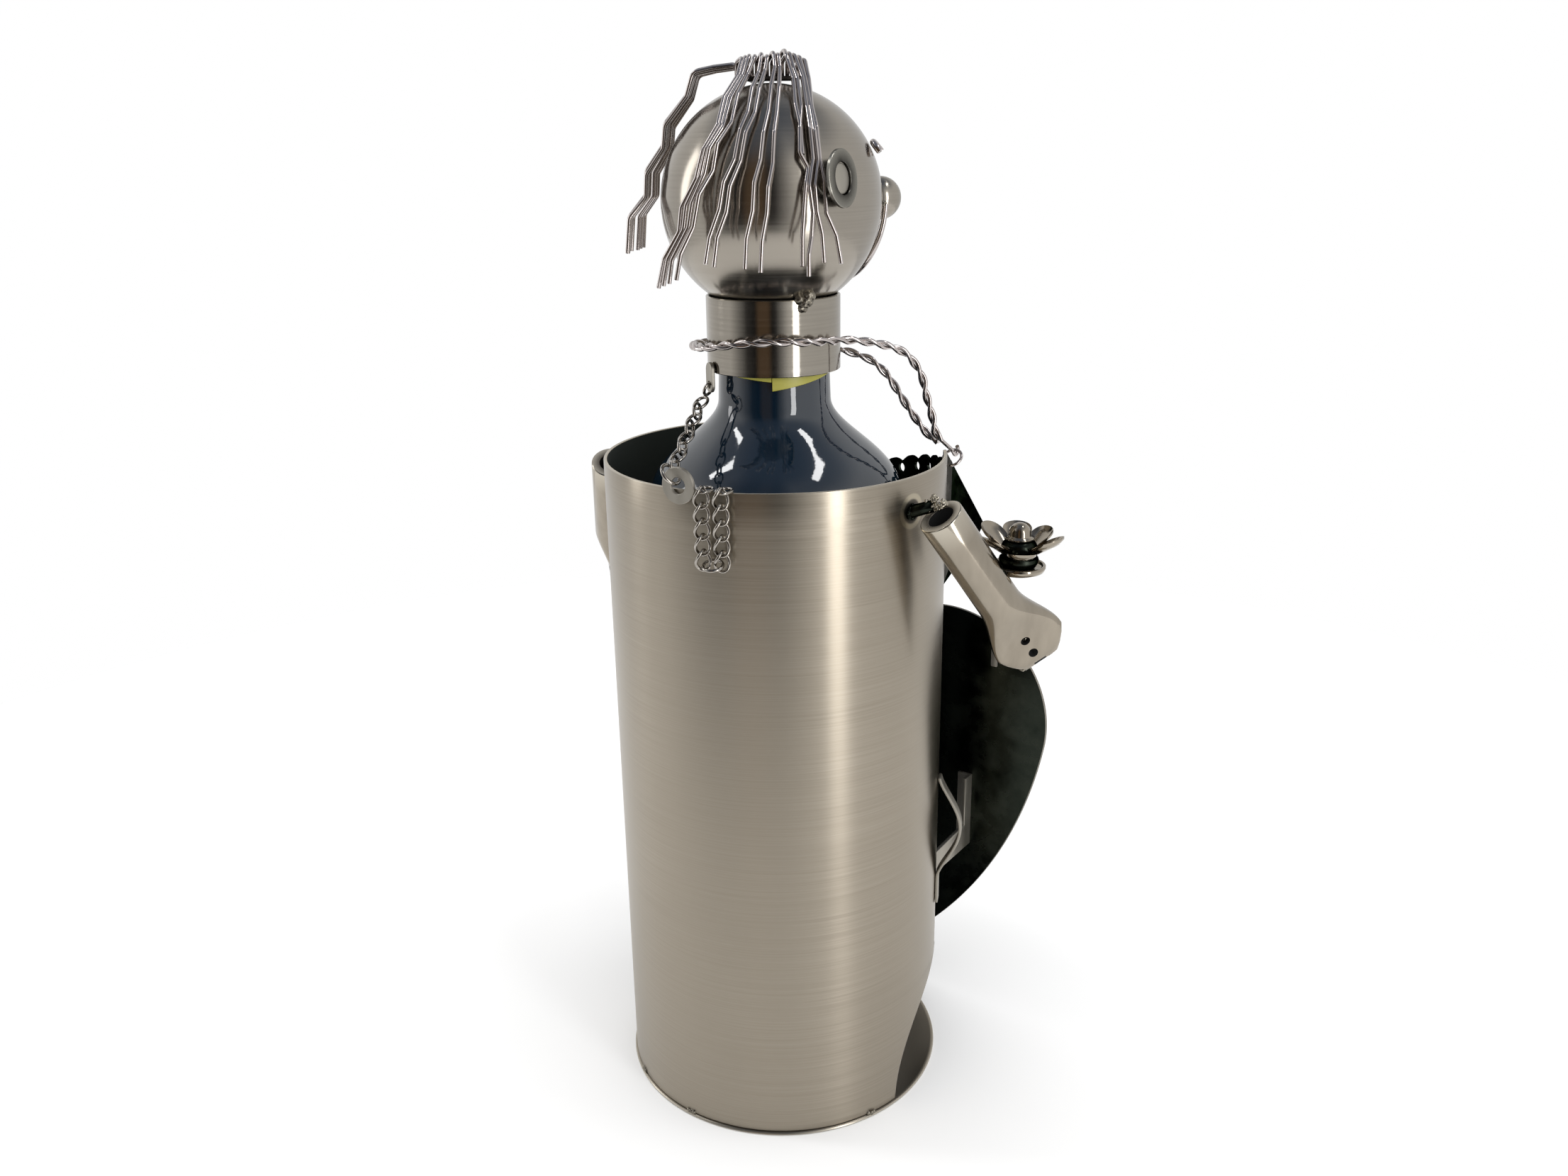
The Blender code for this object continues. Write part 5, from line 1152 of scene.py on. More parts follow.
def make_tab():
    """The flat tab under the collar, with the hole that the last link hangs in."""
    length, width, thickness = TAB_LENGTH, TAB_WIDTH, TAB_THICKNESS
    out = polar(TAB_TURN, 1)
    hole = polar(TAB_TURN, COLLAR_RADIUS + GAP + thickness / 2, COLLAR_BOTTOM - TAB_FALL + width / 2)
    outline = []
    for end, first in ((0.0, 90), (length - width, -90)):
        for k in range(25):
            turn = math.radians(first + 180 * k / 24)
            outline.append((end + width / 2 * math.cos(turn), width / 2 * math.sin(turn)))
    frame = Matrix((UP, UP.cross(out), -out)).transposed().to_4x4()
    shape = moved(plate(outline, thickness), Matrix.Translation(hole + out * thickness / 2) @ frame)
    shape = punched(shape, drills([Matrix.Translation(hole) @ frame], 0.0011, 0.003))
    add("tab_of_collar", eased(shape, 0.00015, 2, 50), "satin", "head", ["collar_tab"])
    down = (chain_end() - hole).normalized()
    near, far = hole - down * 0.0003, chain_end() - down * (LINK_WIRE * 2 + 0.0001)
    side = (down.cross(UP) + UP.cross(out).cross(down) * 0.7).normalized()
    oval = oval_of(near.lerp(far, 0.5), down, side, (far - near).length / 2, LINK_HALF_WIDTH)
    add_wire("link_in_tab", [oval], LINK_WIRE, "chain", "head", loop=True)


make_tab()

# %% [markdown]
# ## Arms
# Each arm is a length of tube. One end stays round and open, and the other was squeezed flat in a press,
# which spreads it to a hand. Sections along the arm grow from a circle to a wide rounded box, and the
# same loft goes on round the mouth's rim and down the bore, so the tube has a real wall. Two holes go
# through the hand.

# %% Two tube arms, and the rods that they are welded to
ARM_RADIUS, BORE_RADIUS, BORE_DEPTH = 0.00625, 0.00375, 0.032
ROUND_LENGTH, FLARE_LENGTH, TIP_LENGTH = 0.034, 0.016, 0.007
HAND_WIDTH, TIP_WIDTH, HAND_THICKNESS, HAND_SHIFT = 0.0212, 0.0115, 0.0042, 0.0008
HOLE_RADIUS, HOLE_SPACING, ARM_ROUNDING = 0.0014, 0.005, 0.00035
ROD_LENGTH, ROD_OUT, ROD_RISE = 0.0083, 0.0078, 0.0030
ROD_PROFILE = ((0, 0.0018), (0.05, 0.0018), (0.5, 0.00172), (0.94, 0.0017), (0.99, 0.0014), (1, 0.0008))
SHOULDER = Vector((0.059, 0.007, 0.1928))
# Each arm's side, the way it points, the way its hand spreads, and how much higher than the shoulder its
# rod starts.
ARMS = {
    "right": (-1, (-0.309, -0.491, -0.816), (-0.641, -0.527, 0.560), -0.00042),
    "left": (1, (0.379, -0.388, -0.839), (0.641, -0.527, 0.560), -0.00108),
}


def section(frame, depth, width, thickness, sides=72, shift=0.0):
    """An oval that grows squarer as it flattens."""
    power = 1 / (2 - thickness / width)
    ring = []
    for k in range(sides):
        turn = math.tau * k / sides
        x = math.copysign(abs(math.cos(turn)) ** power, math.cos(turn)) * width / 2 + shift
        y = math.copysign(abs(math.sin(turn)) ** power, math.sin(turn)) * thickness / 2
        ring.append(frame @ Vector((x, y, depth)))
    return ring


def flare(share):
    """Smooth start and end, so that the squeezed part runs into the tube with no line."""
    return share * share * (3 - 2 * share)


def make_arm(word):
    side, slope, across, _ = ARMS[word]
    frame = along(slope, across, (side * SHOULDER.x, SHOULDER.y, SHOULDER.z))
    bore, tube, round_off = BORE_RADIUS * 2, ARM_RADIUS * 2, ARM_ROUNDING
    rings = [section(frame, depth, bore, bore) for depth in (BORE_DEPTH, BORE_DEPTH * 0.5, round_off)]
    for turn in (0.5, 1.05, math.pi / 2):
        wide = bore + 2 * round_off * (1 - math.cos(turn))
        rings.append(section(frame, round_off * (1 - math.sin(turn)), wide, wide))
    for turn in (0.0, 0.5, 1.05, math.pi / 2):
        wide = tube - 2 * round_off * (1 - math.sin(turn))
        rings.append(section(frame, round_off * (1 - math.cos(turn)), wide, wide))
    rings += [section(frame, ROUND_LENGTH * share, tube, tube) for share in (0.25, 0.5, 0.75)]
    steps = 18
    for k in range(steps + 1):
        share = k / steps
        width = tube + (HAND_WIDTH - tube) * flare(share) ** 1.15
        thickness = tube + (HAND_THICKNESS - tube) * flare(share) ** 0.9
        depth = ROUND_LENGTH - 0.002 + (FLARE_LENGTH + 0.002) * share
        rings.append(section(frame, depth, width, thickness, shift=HAND_SHIFT * flare(share)))
    knuckles = ROUND_LENGTH + FLARE_LENGTH
    for share in (0.35, 0.7, 0.88, 0.97, 1.0):
        thin = HAND_THICKNESS * (1 - 0.45 * max(share - 0.7, 0) / 0.3)
        width = HAND_WIDTH + (TIP_WIDTH - HAND_WIDTH) * share**1.3
        rings.append(section(frame, knuckles + TIP_LENGTH * share, width, thin, shift=HAND_SHIFT))
    crosswise = Matrix.Rotation(math.pi / 2, 4, "X")
    heights = [knuckles + half * HOLE_SPACING / 2 for half in (-1, 1)]
    spots = [frame @ Matrix.Translation((0, 0, height)) @ crosswise for height in heights]
    shape = punched(lofted(rings), drills(spots, HOLE_RADIUS, 0.014))
    inverse = frame.inverted()

    # Painted shade down the bore and in the hand's holes. The inner part of the mouth's end face is darkened
    # by half as well.
    def inside(point):
        own = inverse @ point
        flat = math.hypot(own.x, own.y)
        deep = own.z > 0.0009 and flat < BORE_RADIUS + 0.0002 and own.z < BORE_DEPTH + 0.001
        between_faces = abs(own.y) < HAND_THICKNESS / 2 - 0.0004
        in_hole = own.z > knuckles - 0.0042 and between_faces and abs(own.x) < HOLE_RADIUS + 0.0002
        if deep or in_hole:
            return 1.0
        return 0.55 if own.z < 0.0004 and flat < ARM_RADIUS - 0.0005 else 0.0

    def edge(point):
        own = inverse @ point
        return own.z < round_off * 1.2 and math.hypot(own.x, own.y) > ARM_RADIUS - 0.0005

    marks = {"inside": inside, "edge": edge}
    add(f"tube_arm_{word}", shape, "arm", "holder", [f"arm_{word}"], marks, sharp=50,
        by_face=("inside",))


def make_rod(word):
    side, _, _, lift = ARMS[word]
    wall = Vector((side * SHOULDER.x, SHOULDER.y, 0)).normalized()
    start = wall * (SHELL_RADIUS - 0.0003) + UP * (SHOULDER.z + lift)
    direction = (wall * ROD_OUT + UP * ROD_RISE).normalized()
    rings = []
    for share, radius in ROD_PROFILE:
        place = along(direction, UP, start + direction * (ROD_LENGTH * share))
        rings.append([place @ polar(15 * k, radius) for k in range(24)])
    add(f"rod_{word}", lofted(rings), "dark", "holder", [f"arm_stub_{word}"])


for word in ARMS:
    make_arm(word)
    make_rod(word)

# %% [markdown]
# ## The heart and what is fixed to the front
# A heart is cut from sheet and blackened. Its outline is two arcs a side: a round lobe, and one long arc
# that leaves the lobe without a corner and runs to the tip. Narrow angle strips on its back reach to the
# body's edge. Beside the right edge, a band is cut free from the body's sheet and pushed out in a bow.

# %% Heart plate and strips
HEART_BACK = -(SHELL_RADIUS + 0.0030 - 0.0005) + GAP
HEART_THICKNESS, STRIP, STRIP_ROUNDING = 0.001, 0.0012, 0.00018
LOBE_RADIUS, LOBE_X, LOBE_Z, TIP_Z = 0.0355, 0.031, 0.109, 0.003
LOBE_LEAVES = math.radians(10)
BOW_TURN, BOW_TOP, BOW_LENGTH, BOW_SWELL = -66, 0.101, 0.044, 0.0068


def heart_outline(arc_steps=40, lobe_steps=60):
    """The long arc's centre follows from what the arc must do: leave the lobe smoothly and meet the tip."""
    turn = LOBE_LEAVES
    rise = LOBE_Z - TIP_Z
    lean = rise * math.sin(turn) - LOBE_X * math.cos(turn)
    extra = (LOBE_X**2 + rise**2 - LOBE_RADIUS**2) / (2 * (LOBE_RADIUS - lean))
    side_x, side_z = LOBE_X - extra * math.cos(turn), LOBE_Z + extra * math.sin(turn)
    tip_turn = math.atan2(TIP_Z - side_z, -side_x)
    cleft = math.acos(-LOBE_X / LOBE_RADIUS)
    wide = extra + LOBE_RADIUS
    half = []
    for k in range(arc_steps):
        angle = tip_turn + (-turn - tip_turn) * k / arc_steps
        half.append((side_x + wide * math.cos(angle), side_z + wide * math.sin(angle)))
    for k in range(lobe_steps + 1):
        angle = -turn + (cleft + turn) * k / lobe_steps
        half.append((LOBE_X + LOBE_RADIUS * math.cos(angle), LOBE_Z + LOBE_RADIUS * math.sin(angle)))
    return half + [(-x, z) for x, z in reversed(half[1:-1])]


def make_heart():
    front = HEART_BACK - GAP - HEART_THICKNESS
    frame = Matrix(((1, 0, 0, 0), (0, 0, 1, front), (0, 1, 0, 0), (0, 0, 0, 1)))
    shape = eased(moved(plate(heart_outline(), HEART_THICKNESS), frame), 0.00022, 2, 60)
    marks = {"edge": lambda point: min(point.y - front, front + HEART_THICKNESS - point.y) > 0.00004}
    add("heart", shape, "dark", "holder", ["heart_plate"], marks)


def make_strips(side, word):
    edge = polar(EDGE_ANGLE, SHELL_RADIUS)
    back, low = HEART_BACK - 0.0002, LOBE_Z - 0.048
    outer = side * (edge.x + 0.00024)
    inner = outer - side * 0.0048
    lip = outer - side * STRIP
    flat, web = back + STRIP, back + STRIP + 0.0034
    rings = []
    for height, reach in ((low, edge.y), (low + 0.0075, edge.y), (low + 0.0087, web), (low + 0.026, web)):
        outline = [(inner, back), (outer, back), (outer, reach), (lip, reach), (lip, flat), (inner, flat)]
        rings.append([Vector((x, y, height)) for x, y in outline])
    shape = eased(lofted(rings), STRIP_ROUNDING, 2, 40)
    add(f"strip_low_{word}", shape, "satin", "holder", [f"heart_strip_lower_{word}"])
    outer = side * (LOBE_X + 0.0180)
    inner = outer - side * 0.0021
    shape = plate([(inner, back), (outer, back), (outer, flat), (inner, flat)], 0.009)
    shape = eased(moved(shape, Matrix.Translation(UP * (LOBE_Z + 0.0185))), STRIP_ROUNDING, 2)
    add(f"strip_high_{word}", shape, "satin", "holder", [f"heart_strip_upper_{word}"])


def make_bow(steps=60):
    """A band lanced from the sheet beside the right edge, and pushed out in a bow."""
    out = polar(BOW_TURN, 1)
    across = UP.cross(out)
    rings = []
    for k in range(steps + 1):
        share = k / steps
        swell = math.sin(math.pi * min(share / 0.78, 1)) ** 1.4
        near = out * (SHELL_RADIUS + 0.0001 + BOW_SWELL * swell) + UP * (BOW_TOP - BOW_LENGTH * share)
        half, deep = across * 0.002, out * 0.0009
        rings.append([near - half, near + half, near + half + deep, near - half + deep])
    add("bowed_band", eased(lofted(rings), 0.0002, 2, 50), "satin", "holder", ["side_strip"])


make_heart()
for side, word in ((-1, "right"), (1, "left")):
    make_strips(side, word)
make_bow()

# %% [markdown]
# ## Lapels
# A pointed plate stands on each front edge of the body, like a coat's lapel. Along the body, the real
# plate has a narrow fold that shows paler. The right one has a hole near its top corner for the ring of
# the neck wire.

# %% Lapels with their folds
LAPEL_REACH, LAPEL_FALL, LAPEL_LENGTH, LAPEL_THICKNESS = 0.0255, 0.0275, 0.041, 0.0008


def lapel_corner(side):
    """The lapel's upper corner, on the body's front edge."""
    edge = polar(side * EDGE_ANGLE, SHELL_RADIUS - SHELL_WALL / 2)
    return Vector((edge.x, edge.y - GAP - SHELL_WALL / 2, SHELL_TOP - 0.001))


LAPEL_HOLE = lapel_corner(-1) + Vector((0, -0.0019, -0.0042))
# The way that the lapel's upper edge runs, and the way straight out from that edge.
SLANT = Vector((0, -LAPEL_REACH, -LAPEL_FALL)).normalized()
LEAVES = Vector((0, SLANT.z, -SLANT.y))


def make_lapel(side, word):
    corner = lapel_corner(side)
    tip = [(LAPEL_REACH * 0.86, -LAPEL_FALL * 1.12), (LAPEL_REACH, -LAPEL_FALL)]
    outline = [(0, 0), (0, -LAPEL_LENGTH), *tip]
    frame = Matrix(((0, 0, 1, -LAPEL_THICKNESS / 2), (-1, 0, 0, 0), (0, 1, 0, 0), (0, 0, 0, 1)))
    shape = moved(plate(outline, LAPEL_THICKNESS), Matrix.Translation(corner) @ frame)
    if side < 0:
        spot = Matrix.Translation(LAPEL_HOLE) @ Matrix.Rotation(math.pi / 2, 4, "Y")
        shape = punched(shape, drills([spot], 0.0009, 0.003))
    shape = eased(shape, 0.00016, 2, 50)
    edge_x = LAPEL_THICKNESS / 2 - 0.00004
    marks = {"edge": lambda point: abs(point.x - corner.x) < edge_x and point.y < corner.y - 0.0003}
    add(f"lapel_plate_{word}", shape, "dark", "holder", [f"lapel_{word}"], marks)
    fold = [(-0.0004, -0.0005), (-0.0004, -LAPEL_LENGTH * 0.97),
            (0.0022, -LAPEL_LENGTH * 0.90), (0.0030, -0.0034)]
    shape = moved(plate(fold, 0.0007), Matrix.Translation(corner + Vector((side * 0.00035, 0, 0))) @ frame)
    add(f"lapel_fold_{word}", eased(shape, 0.0002, 2, 50), "ear", "holder")


for side, word in ((-1, "right"), (1, "left")):
    make_lapel(side, word)
lapel_ring = ring_of(0.0029, Matrix.Translation(LAPEL_HOLE + LEAVES * 0.0027) @ along(SLANT, LEAVES))
add_wire("ring_in_lapel", [lapel_ring], 0.00045, "wire", "holder", ["strap_ring"], loop=True)

# %% [markdown]
# ## The punched collar
# Inside the front opening sits a strip like lace: scalloped on top, and punched with rows of holes. The
# carrier holds the plain strip and one loose point for each hole. The tree keeps the strip, sets a punch
# on each loose point, turned to face outwards, and takes all the punches away from the strip in one cut.

# %% The punch tree and the lace
LACE_HALF, LACE_MIDDLE, LACE_END, LACE_BOW, LACE_DEPTH = 60, 0.1888, 0.2005, 0.0013, 0.020
SCALLOP, PUNCH_RADIUS, LAST_HOLE = 0.0016, 0.0014, 50.5
HOLE_ROWS = (0.177, 0.463, 0.749)


def make_punch_tree():
    tree, inputs = new_tree("punched sheet", Radius=0.0014, Depth=0.004, Sides=20)
    flag = node(tree, "GeometryNodeInputNamedAttribute", {"Name": "hole"}, data_type="FLOAT").outputs[0]
    whole = {"Geometry": inputs["Geometry"], "Selection": flag}
    parted = node(tree, "GeometryNodeSeparateGeometry", whole, domain="POINT")
    size = {"Vertices": inputs["Sides"], "Radius": inputs["Radius"], "Depth": inputs["Depth"]}
    punch = node(tree, "GeometryNodeMeshCylinder", size).outputs[0]
    position = node(tree, "GeometryNodeInputPosition").outputs[0]
    place = node(tree, "ShaderNodeVectorMath", {0: position, 1: (1, 1, 0)}, operation="MULTIPLY").outputs[0]
    facing = node(tree, "FunctionNodeAlignRotationToVector", {"Vector": place}, axis="Z").outputs[0]
    spots = node(tree, "GeometryNodeMeshToPoints", {"Mesh": parted.outputs[0]}).outputs[0]
    placed = {"Points": spots, "Instance": punch, "Rotation": facing}
    grown = node(tree, "GeometryNodeInstanceOnPoints", placed).outputs[0]
    both = {"Mesh 1": parted.outputs[1], "Mesh 2": grown}
    cut = node(tree, "GeometryNodeMeshBoolean", both, operation="DIFFERENCE", solver="EXACT").outputs[0]
    end_tree(tree, cut, inputs["Finish"])
    return tree


def lace_line(turn):
    """The height that the lace's top follows: low in the middle, and rising in a curve to both ends."""
    share = abs(turn) / LACE_HALF
    return LACE_MIDDLE + (LACE_END - LACE_MIDDLE) * share + LACE_BOW * math.sin(math.pi * share)


def make_lace(columns=216, scallops=12):
    outer, wall = SHELL_RADIUS - SHELL_WALL - GAP, 0.0008
    rings = []
    for k in range(columns + 1):
        turn = LACE_HALF * (2 * k / columns - 1)
        wave = abs(math.sin(math.pi * scallops * (turn / LACE_HALF + 1) / 2))
        top, low = lace_line(turn) + SCALLOP * (wave - 1), lace_line(turn) - LACE_DEPTH
        corners = ((outer, low), (outer, top), (outer - wall, top), (outer - wall, low))
        rings.append([polar(turn, radius, height) for radius, height in corners])
    strip = lofted(rings)
    bmesh.ops.recalc_face_normals(strip, faces=strip.faces)
    strip_count = len(strip.verts)
    for row, drop in enumerate(HOLE_ROWS):
        count = scallops - (row + 1) % 2
        for k in range(count):
            turn = 2 * LACE_HALF * (k + 0.5 - count / 2) / scallops
            if abs(turn) < LAST_HOLE:
                strip.verts.new(polar(turn, outer - wall / 2, lace_line(turn) - LACE_DEPTH * drop))
    holes = len(strip.verts) - strip_count
    host = bpy.data.meshes.new("strip")
    strip.to_mesh(host)
    strip.free()
    flags = [0.0] * strip_count + [1.0] * holes
    host.attributes.new("hole", "FLOAT", "POINT").data.foreach_set("value", flags)
    mesh = grow(make_punch_tree(), host, "dark", Radius=PUNCH_RADIUS, Depth=0.003, Sides=20)
    add("lace", mesh, "dark", "holder", ["lace_collar"], sharp=35)
    print("holes punched:", holes)


make_lace()

# %% [markdown]
# ## The neck wire
# Two wires are laid round each other like a rope, go once round the collar, and end in the lapel's ring.
# They follow the solid wires' own route. The tree pushes each point of it out sideways. The push turns
# as the length grows, and the two wires are half a turn apart.

# %% The twist tree and its route
# From the right lapel's ring up to the collar, round its back and its front, and down again.
NECK_ROUTE = (
    (-0.0386, -0.0296, 0.2044), (-0.0372, -0.0284, 0.2070), (-0.0367, -0.0273, 0.2116),
    (-0.0356, -0.0253, 0.2184), (-0.0347, -0.0237, 0.2243), (-0.0325, -0.0199, 0.2299),
    (-0.0298, -0.0151, 0.2327), (-0.0259, -0.0082, 0.2347), (-0.0228, -0.0025, 0.2356),
    (-0.0200, 0.0105, 0.2364), (-0.0140, 0.0181, 0.2369), (-0.0046, 0.0224, 0.2362),
    (0.0078, 0.0215, 0.2344), (0.0185, 0.0135, 0.2332), (0.0229, 0.0000, 0.2322),
    (0.0175, -0.0150, 0.2312), (0.0050, -0.0226, 0.2300), (-0.0073, -0.0222, 0.2296),
    (-0.0115, -0.0241, 0.2284), (-0.0163, -0.0263, 0.2264), (-0.0204, -0.0282, 0.2225),
    (-0.0237, -0.0297, 0.2173), (-0.0272, -0.0313, 0.2114), (-0.0318, -0.0332, 0.2050),
    (-0.0352, -0.0340, 0.2026),
)
STRAND_RADIUS, STRAND_OFFSET, LAY_LENGTH, HOOK_BEND = 0.0006, 0.00066, 0.0112, 0.0015


def smooth_line(route, parts=12):
    """A smooth line through the route's own points."""
    line = []
    for i in range(len(route) - 1):
        near = [Vector(route[min(max(i + k, 0), len(route) - 1)]) for k in (-1, 0, 1, 2)]
        before, start, end, after = near
        slope = end - before
        bend = before * 2 - start * 5 + end * 4 - after
        twist = start * 3 - before - end * 3 + after
        for k in range(parts):
            share = k / parts
            line.append(start + slope * (share / 2) + bend * (share * share / 2) + twist * (share**3 / 2))
    return line + [Vector(route[-1])]


def make_twist_tree():
    tree, inputs = new_tree("laid wires", Radius=0.0006, Offset=0.0008, Pitch=0.0085, Phase=0.0, Steps=300)
    curve = node(tree, "GeometryNodeMeshToCurve", {0: inputs["Geometry"]}).outputs[0]
    even = node(tree, "GeometryNodeResampleCurve", {"Curve": curve, "Count": inputs["Steps"]}).outputs[0]
    length = node(tree, "GeometryNodeSplineParameter").outputs["Length"]
    turns = math_node(tree, "DIVIDE", length, inputs["Pitch"])
    angle = math_node(tree, "ADD", math_node(tree, "MULTIPLY", turns, math.tau), inputs["Phase"])
    normal = node(tree, "GeometryNodeInputNormal").outputs[0]
    tangent = node(tree, "GeometryNodeInputTangent").outputs[0]
    about = {"Vector": normal, "Axis": tangent, "Angle": angle}
    sideways = node(tree, "ShaderNodeVectorRotate", about).outputs[0]
    shift = node(tree, "ShaderNodeVectorMath", {0: sideways, "Scale": inputs["Offset"]}, operation="SCALE")
    wound = node(tree, "GeometryNodeSetPosition", {"Geometry": even, "Offset": shift.outputs[0]}).outputs[0]
    size = {"Resolution": 12, "Radius": inputs["Radius"]}
    circle = node(tree, "GeometryNodeCurvePrimitiveCircle", size).outputs[0]
    sweep = {"Curve": wound, "Profile Curve": circle, "Fill Caps": True}
    end_tree(tree, node(tree, "GeometryNodeCurveToMesh", sweep).outputs[0], inputs["Finish"])
    return tree


def make_neck_wires():
    tree = make_twist_tree()
    line = smooth_line(NECK_ROUTE)
    for word, phase in (("a", 0.0), ("b", math.pi)):
        mesh = grow(tree, carrier(lines=[line]), "wire", Radius=STRAND_RADIUS, Offset=STRAND_OFFSET,
                    Pitch=LAY_LENGTH, Phase=phase, Steps=360)
        add(f"twisted_wire_{word}", mesh, "wire", "holder", [f"neck_wire_{word}"])
    threaded = LAPEL_HOLE + LEAVES * 0.0042
    open_end = threaded + LEAVES * 0.0026
    hook = [open_end - SLANT * 0.0001, open_end + SLANT * 0.0014, threaded + SLANT * 0.0014,
            threaded - SLANT * 0.0018, line[0], line[2]]
    add_wire("hook_to_ring", [hook], STRAND_RADIUS, "wire", "holder", bend=HOOK_BEND)
    tail = [line[-3], line[-1], Vector(NECK_ROUTE[0]) + Vector((0.0008, 0.0006, 0.0016))]
    add_wire("wire_joint", [tail], STRAND_RADIUS, "wire", "holder", bend=HOOK_BEND)


make_neck_wires()

# %% [markdown]
# ## The flower
# Six petals were cut from thin sheet and dished one by one, and they overlap by turns. One petal is an
# egg-shaped spoon: a disc of rings and spokes is pulled into the egg's outline, lifted towards the tip
# and given its thickness. The tree sets six round the stem, every second one a little higher, and gives
# each a lean and a size of its own. Below them are a cup and a saucer, and on top sits a black bead with
# a bright cap.

# %% The petal tree and the flower
FLOWER = Matrix.Translation((-0.0698, -0.0195, 0.1722))
PETAL_FOOT, PETAL_LENGTH, PETAL_WIDTH, PETAL_THICKNESS = 0.0012, 0.0120, 0.0100, 0.0006
PETAL_RISE, PETAL_CUP, PETAL_RIM = 0.0058, 0.0020, 0.0007
SAUCER_RADIUS, SAUCER_TOP, CUP_FOOT, CUP_RIM = 0.0076, 0.0022, 0.0014, 0.0040
BEAD_RADIUS, BEAD_HALF = 0.0050, 0.0026


def make_ring_tree():
    tree, inputs = new_tree("round the stem", Copies=6, Lift=0.0005, Tilt=0.2, Uneven=0.1)
    spots = node(tree, "GeometryNodePoints", {"Count": inputs["Copies"]}).outputs[0]
    index = node(tree, "GeometryNodeInputIndex").outputs[0]
    turn = math_node(tree, "DIVIDE", math_node(tree, "MULTIPLY", index, math.tau), inputs["Copies"])
    high = math_node(tree, "MULTIPLY", math_node(tree, "MODULO", index, 2.0), inputs["Lift"])
    offset = node(tree, "ShaderNodeCombineXYZ", {2: high}).outputs[0]
    lifted = node(tree, "GeometryNodeSetPosition", {"Geometry": spots, "Offset": offset}).outputs[0]
    sway = math_node(tree, "SINE", math_node(tree, "MULTIPLY_ADD", index, 2.4, 0.9))
    wave = math_node(tree, "COSINE", math_node(tree, "MULTIPLY", index, math.pi / 2))
    lean = math_node(tree, "MULTIPLY", math_node(tree, "MULTIPLY", wave, -1.0), inputs["Tilt"])
    rotation = node(tree, "ShaderNodeCombineXYZ", {1: lean, 2: turn}).outputs[0]
    size = math_node(tree, "MULTIPLY_ADD", sway, inputs["Uneven"], 1.0)
    placed = {"Points": lifted, "Instance": inputs["Geometry"], "Rotation": rotation, "Scale": size}
    end_tree(tree, node(tree, "GeometryNodeInstanceOnPoints", placed).outputs[0], inputs["Finish"])
    return tree


def make_petal(rings=10, steps=44):
    """One petal, an egg-shaped spoon with a rolled rim, as a thin closed solid."""
    shape = bmesh.new()
    layers = []
    for drop in (0.0, PETAL_THICKNESS):
        layer = [[shape.verts.new(petal_point(0.0, 0.0, drop))]]
        for ring in range(1, rings + 1):
            turns = [math.tau * k / steps for k in range(steps)]
            layer.append([shape.verts.new(petal_point(ring / rings, turn, drop)) for turn in turns])
        layers.append(layer)
    for layer in layers:
        for k in range(steps):
            after = (k + 1) % steps
            shape.faces.new((layer[0][0], layer[1][k], layer[1][after]))
            for low, high in zip(layer[1:], layer[2:]):
                shape.faces.new((low[k], high[k], high[after], low[after]))
    upper, lower = layers[0][-1], layers[1][-1]
    for k in range(steps):
        after = (k + 1) % steps
        shape.faces.new((upper[k], lower[k], lower[after], upper[after]))
    mesh = bpy.data.meshes.new("petal")
    bmesh.ops.recalc_face_normals(shape, faces=shape.faces)
    shape.to_mesh(mesh)
    shape.free()
    return mesh


def petal_point(radius, turn, drop):
    """A point of the spoon, from a disc's radius and turn. The egg is wide near its tip."""
    share = (1 + radius * math.cos(turn)) / 2
    side = radius * math.sin(turn)
    reach = PETAL_FOOT + (PETAL_LENGTH - PETAL_FOOT) * share
    across = PETAL_WIDTH / 2 * side * (0.45 + 0.62 * share)
    height = PETAL_RISE * share**1.35 + PETAL_CUP * side * side * (1 - 0.4 * share)
    height += PETAL_RIM * max(radius - 0.8, 0) / 0.2 * share
    return Vector((reach, across, height - drop))


def add_turned(name, profile, segments, look, solid, sharp):
    """A part of the flower that is turned about its stem."""
    add(name, moved(turned(profile, segments), FLOWER), look, "holder", [solid], sharp=sharp)


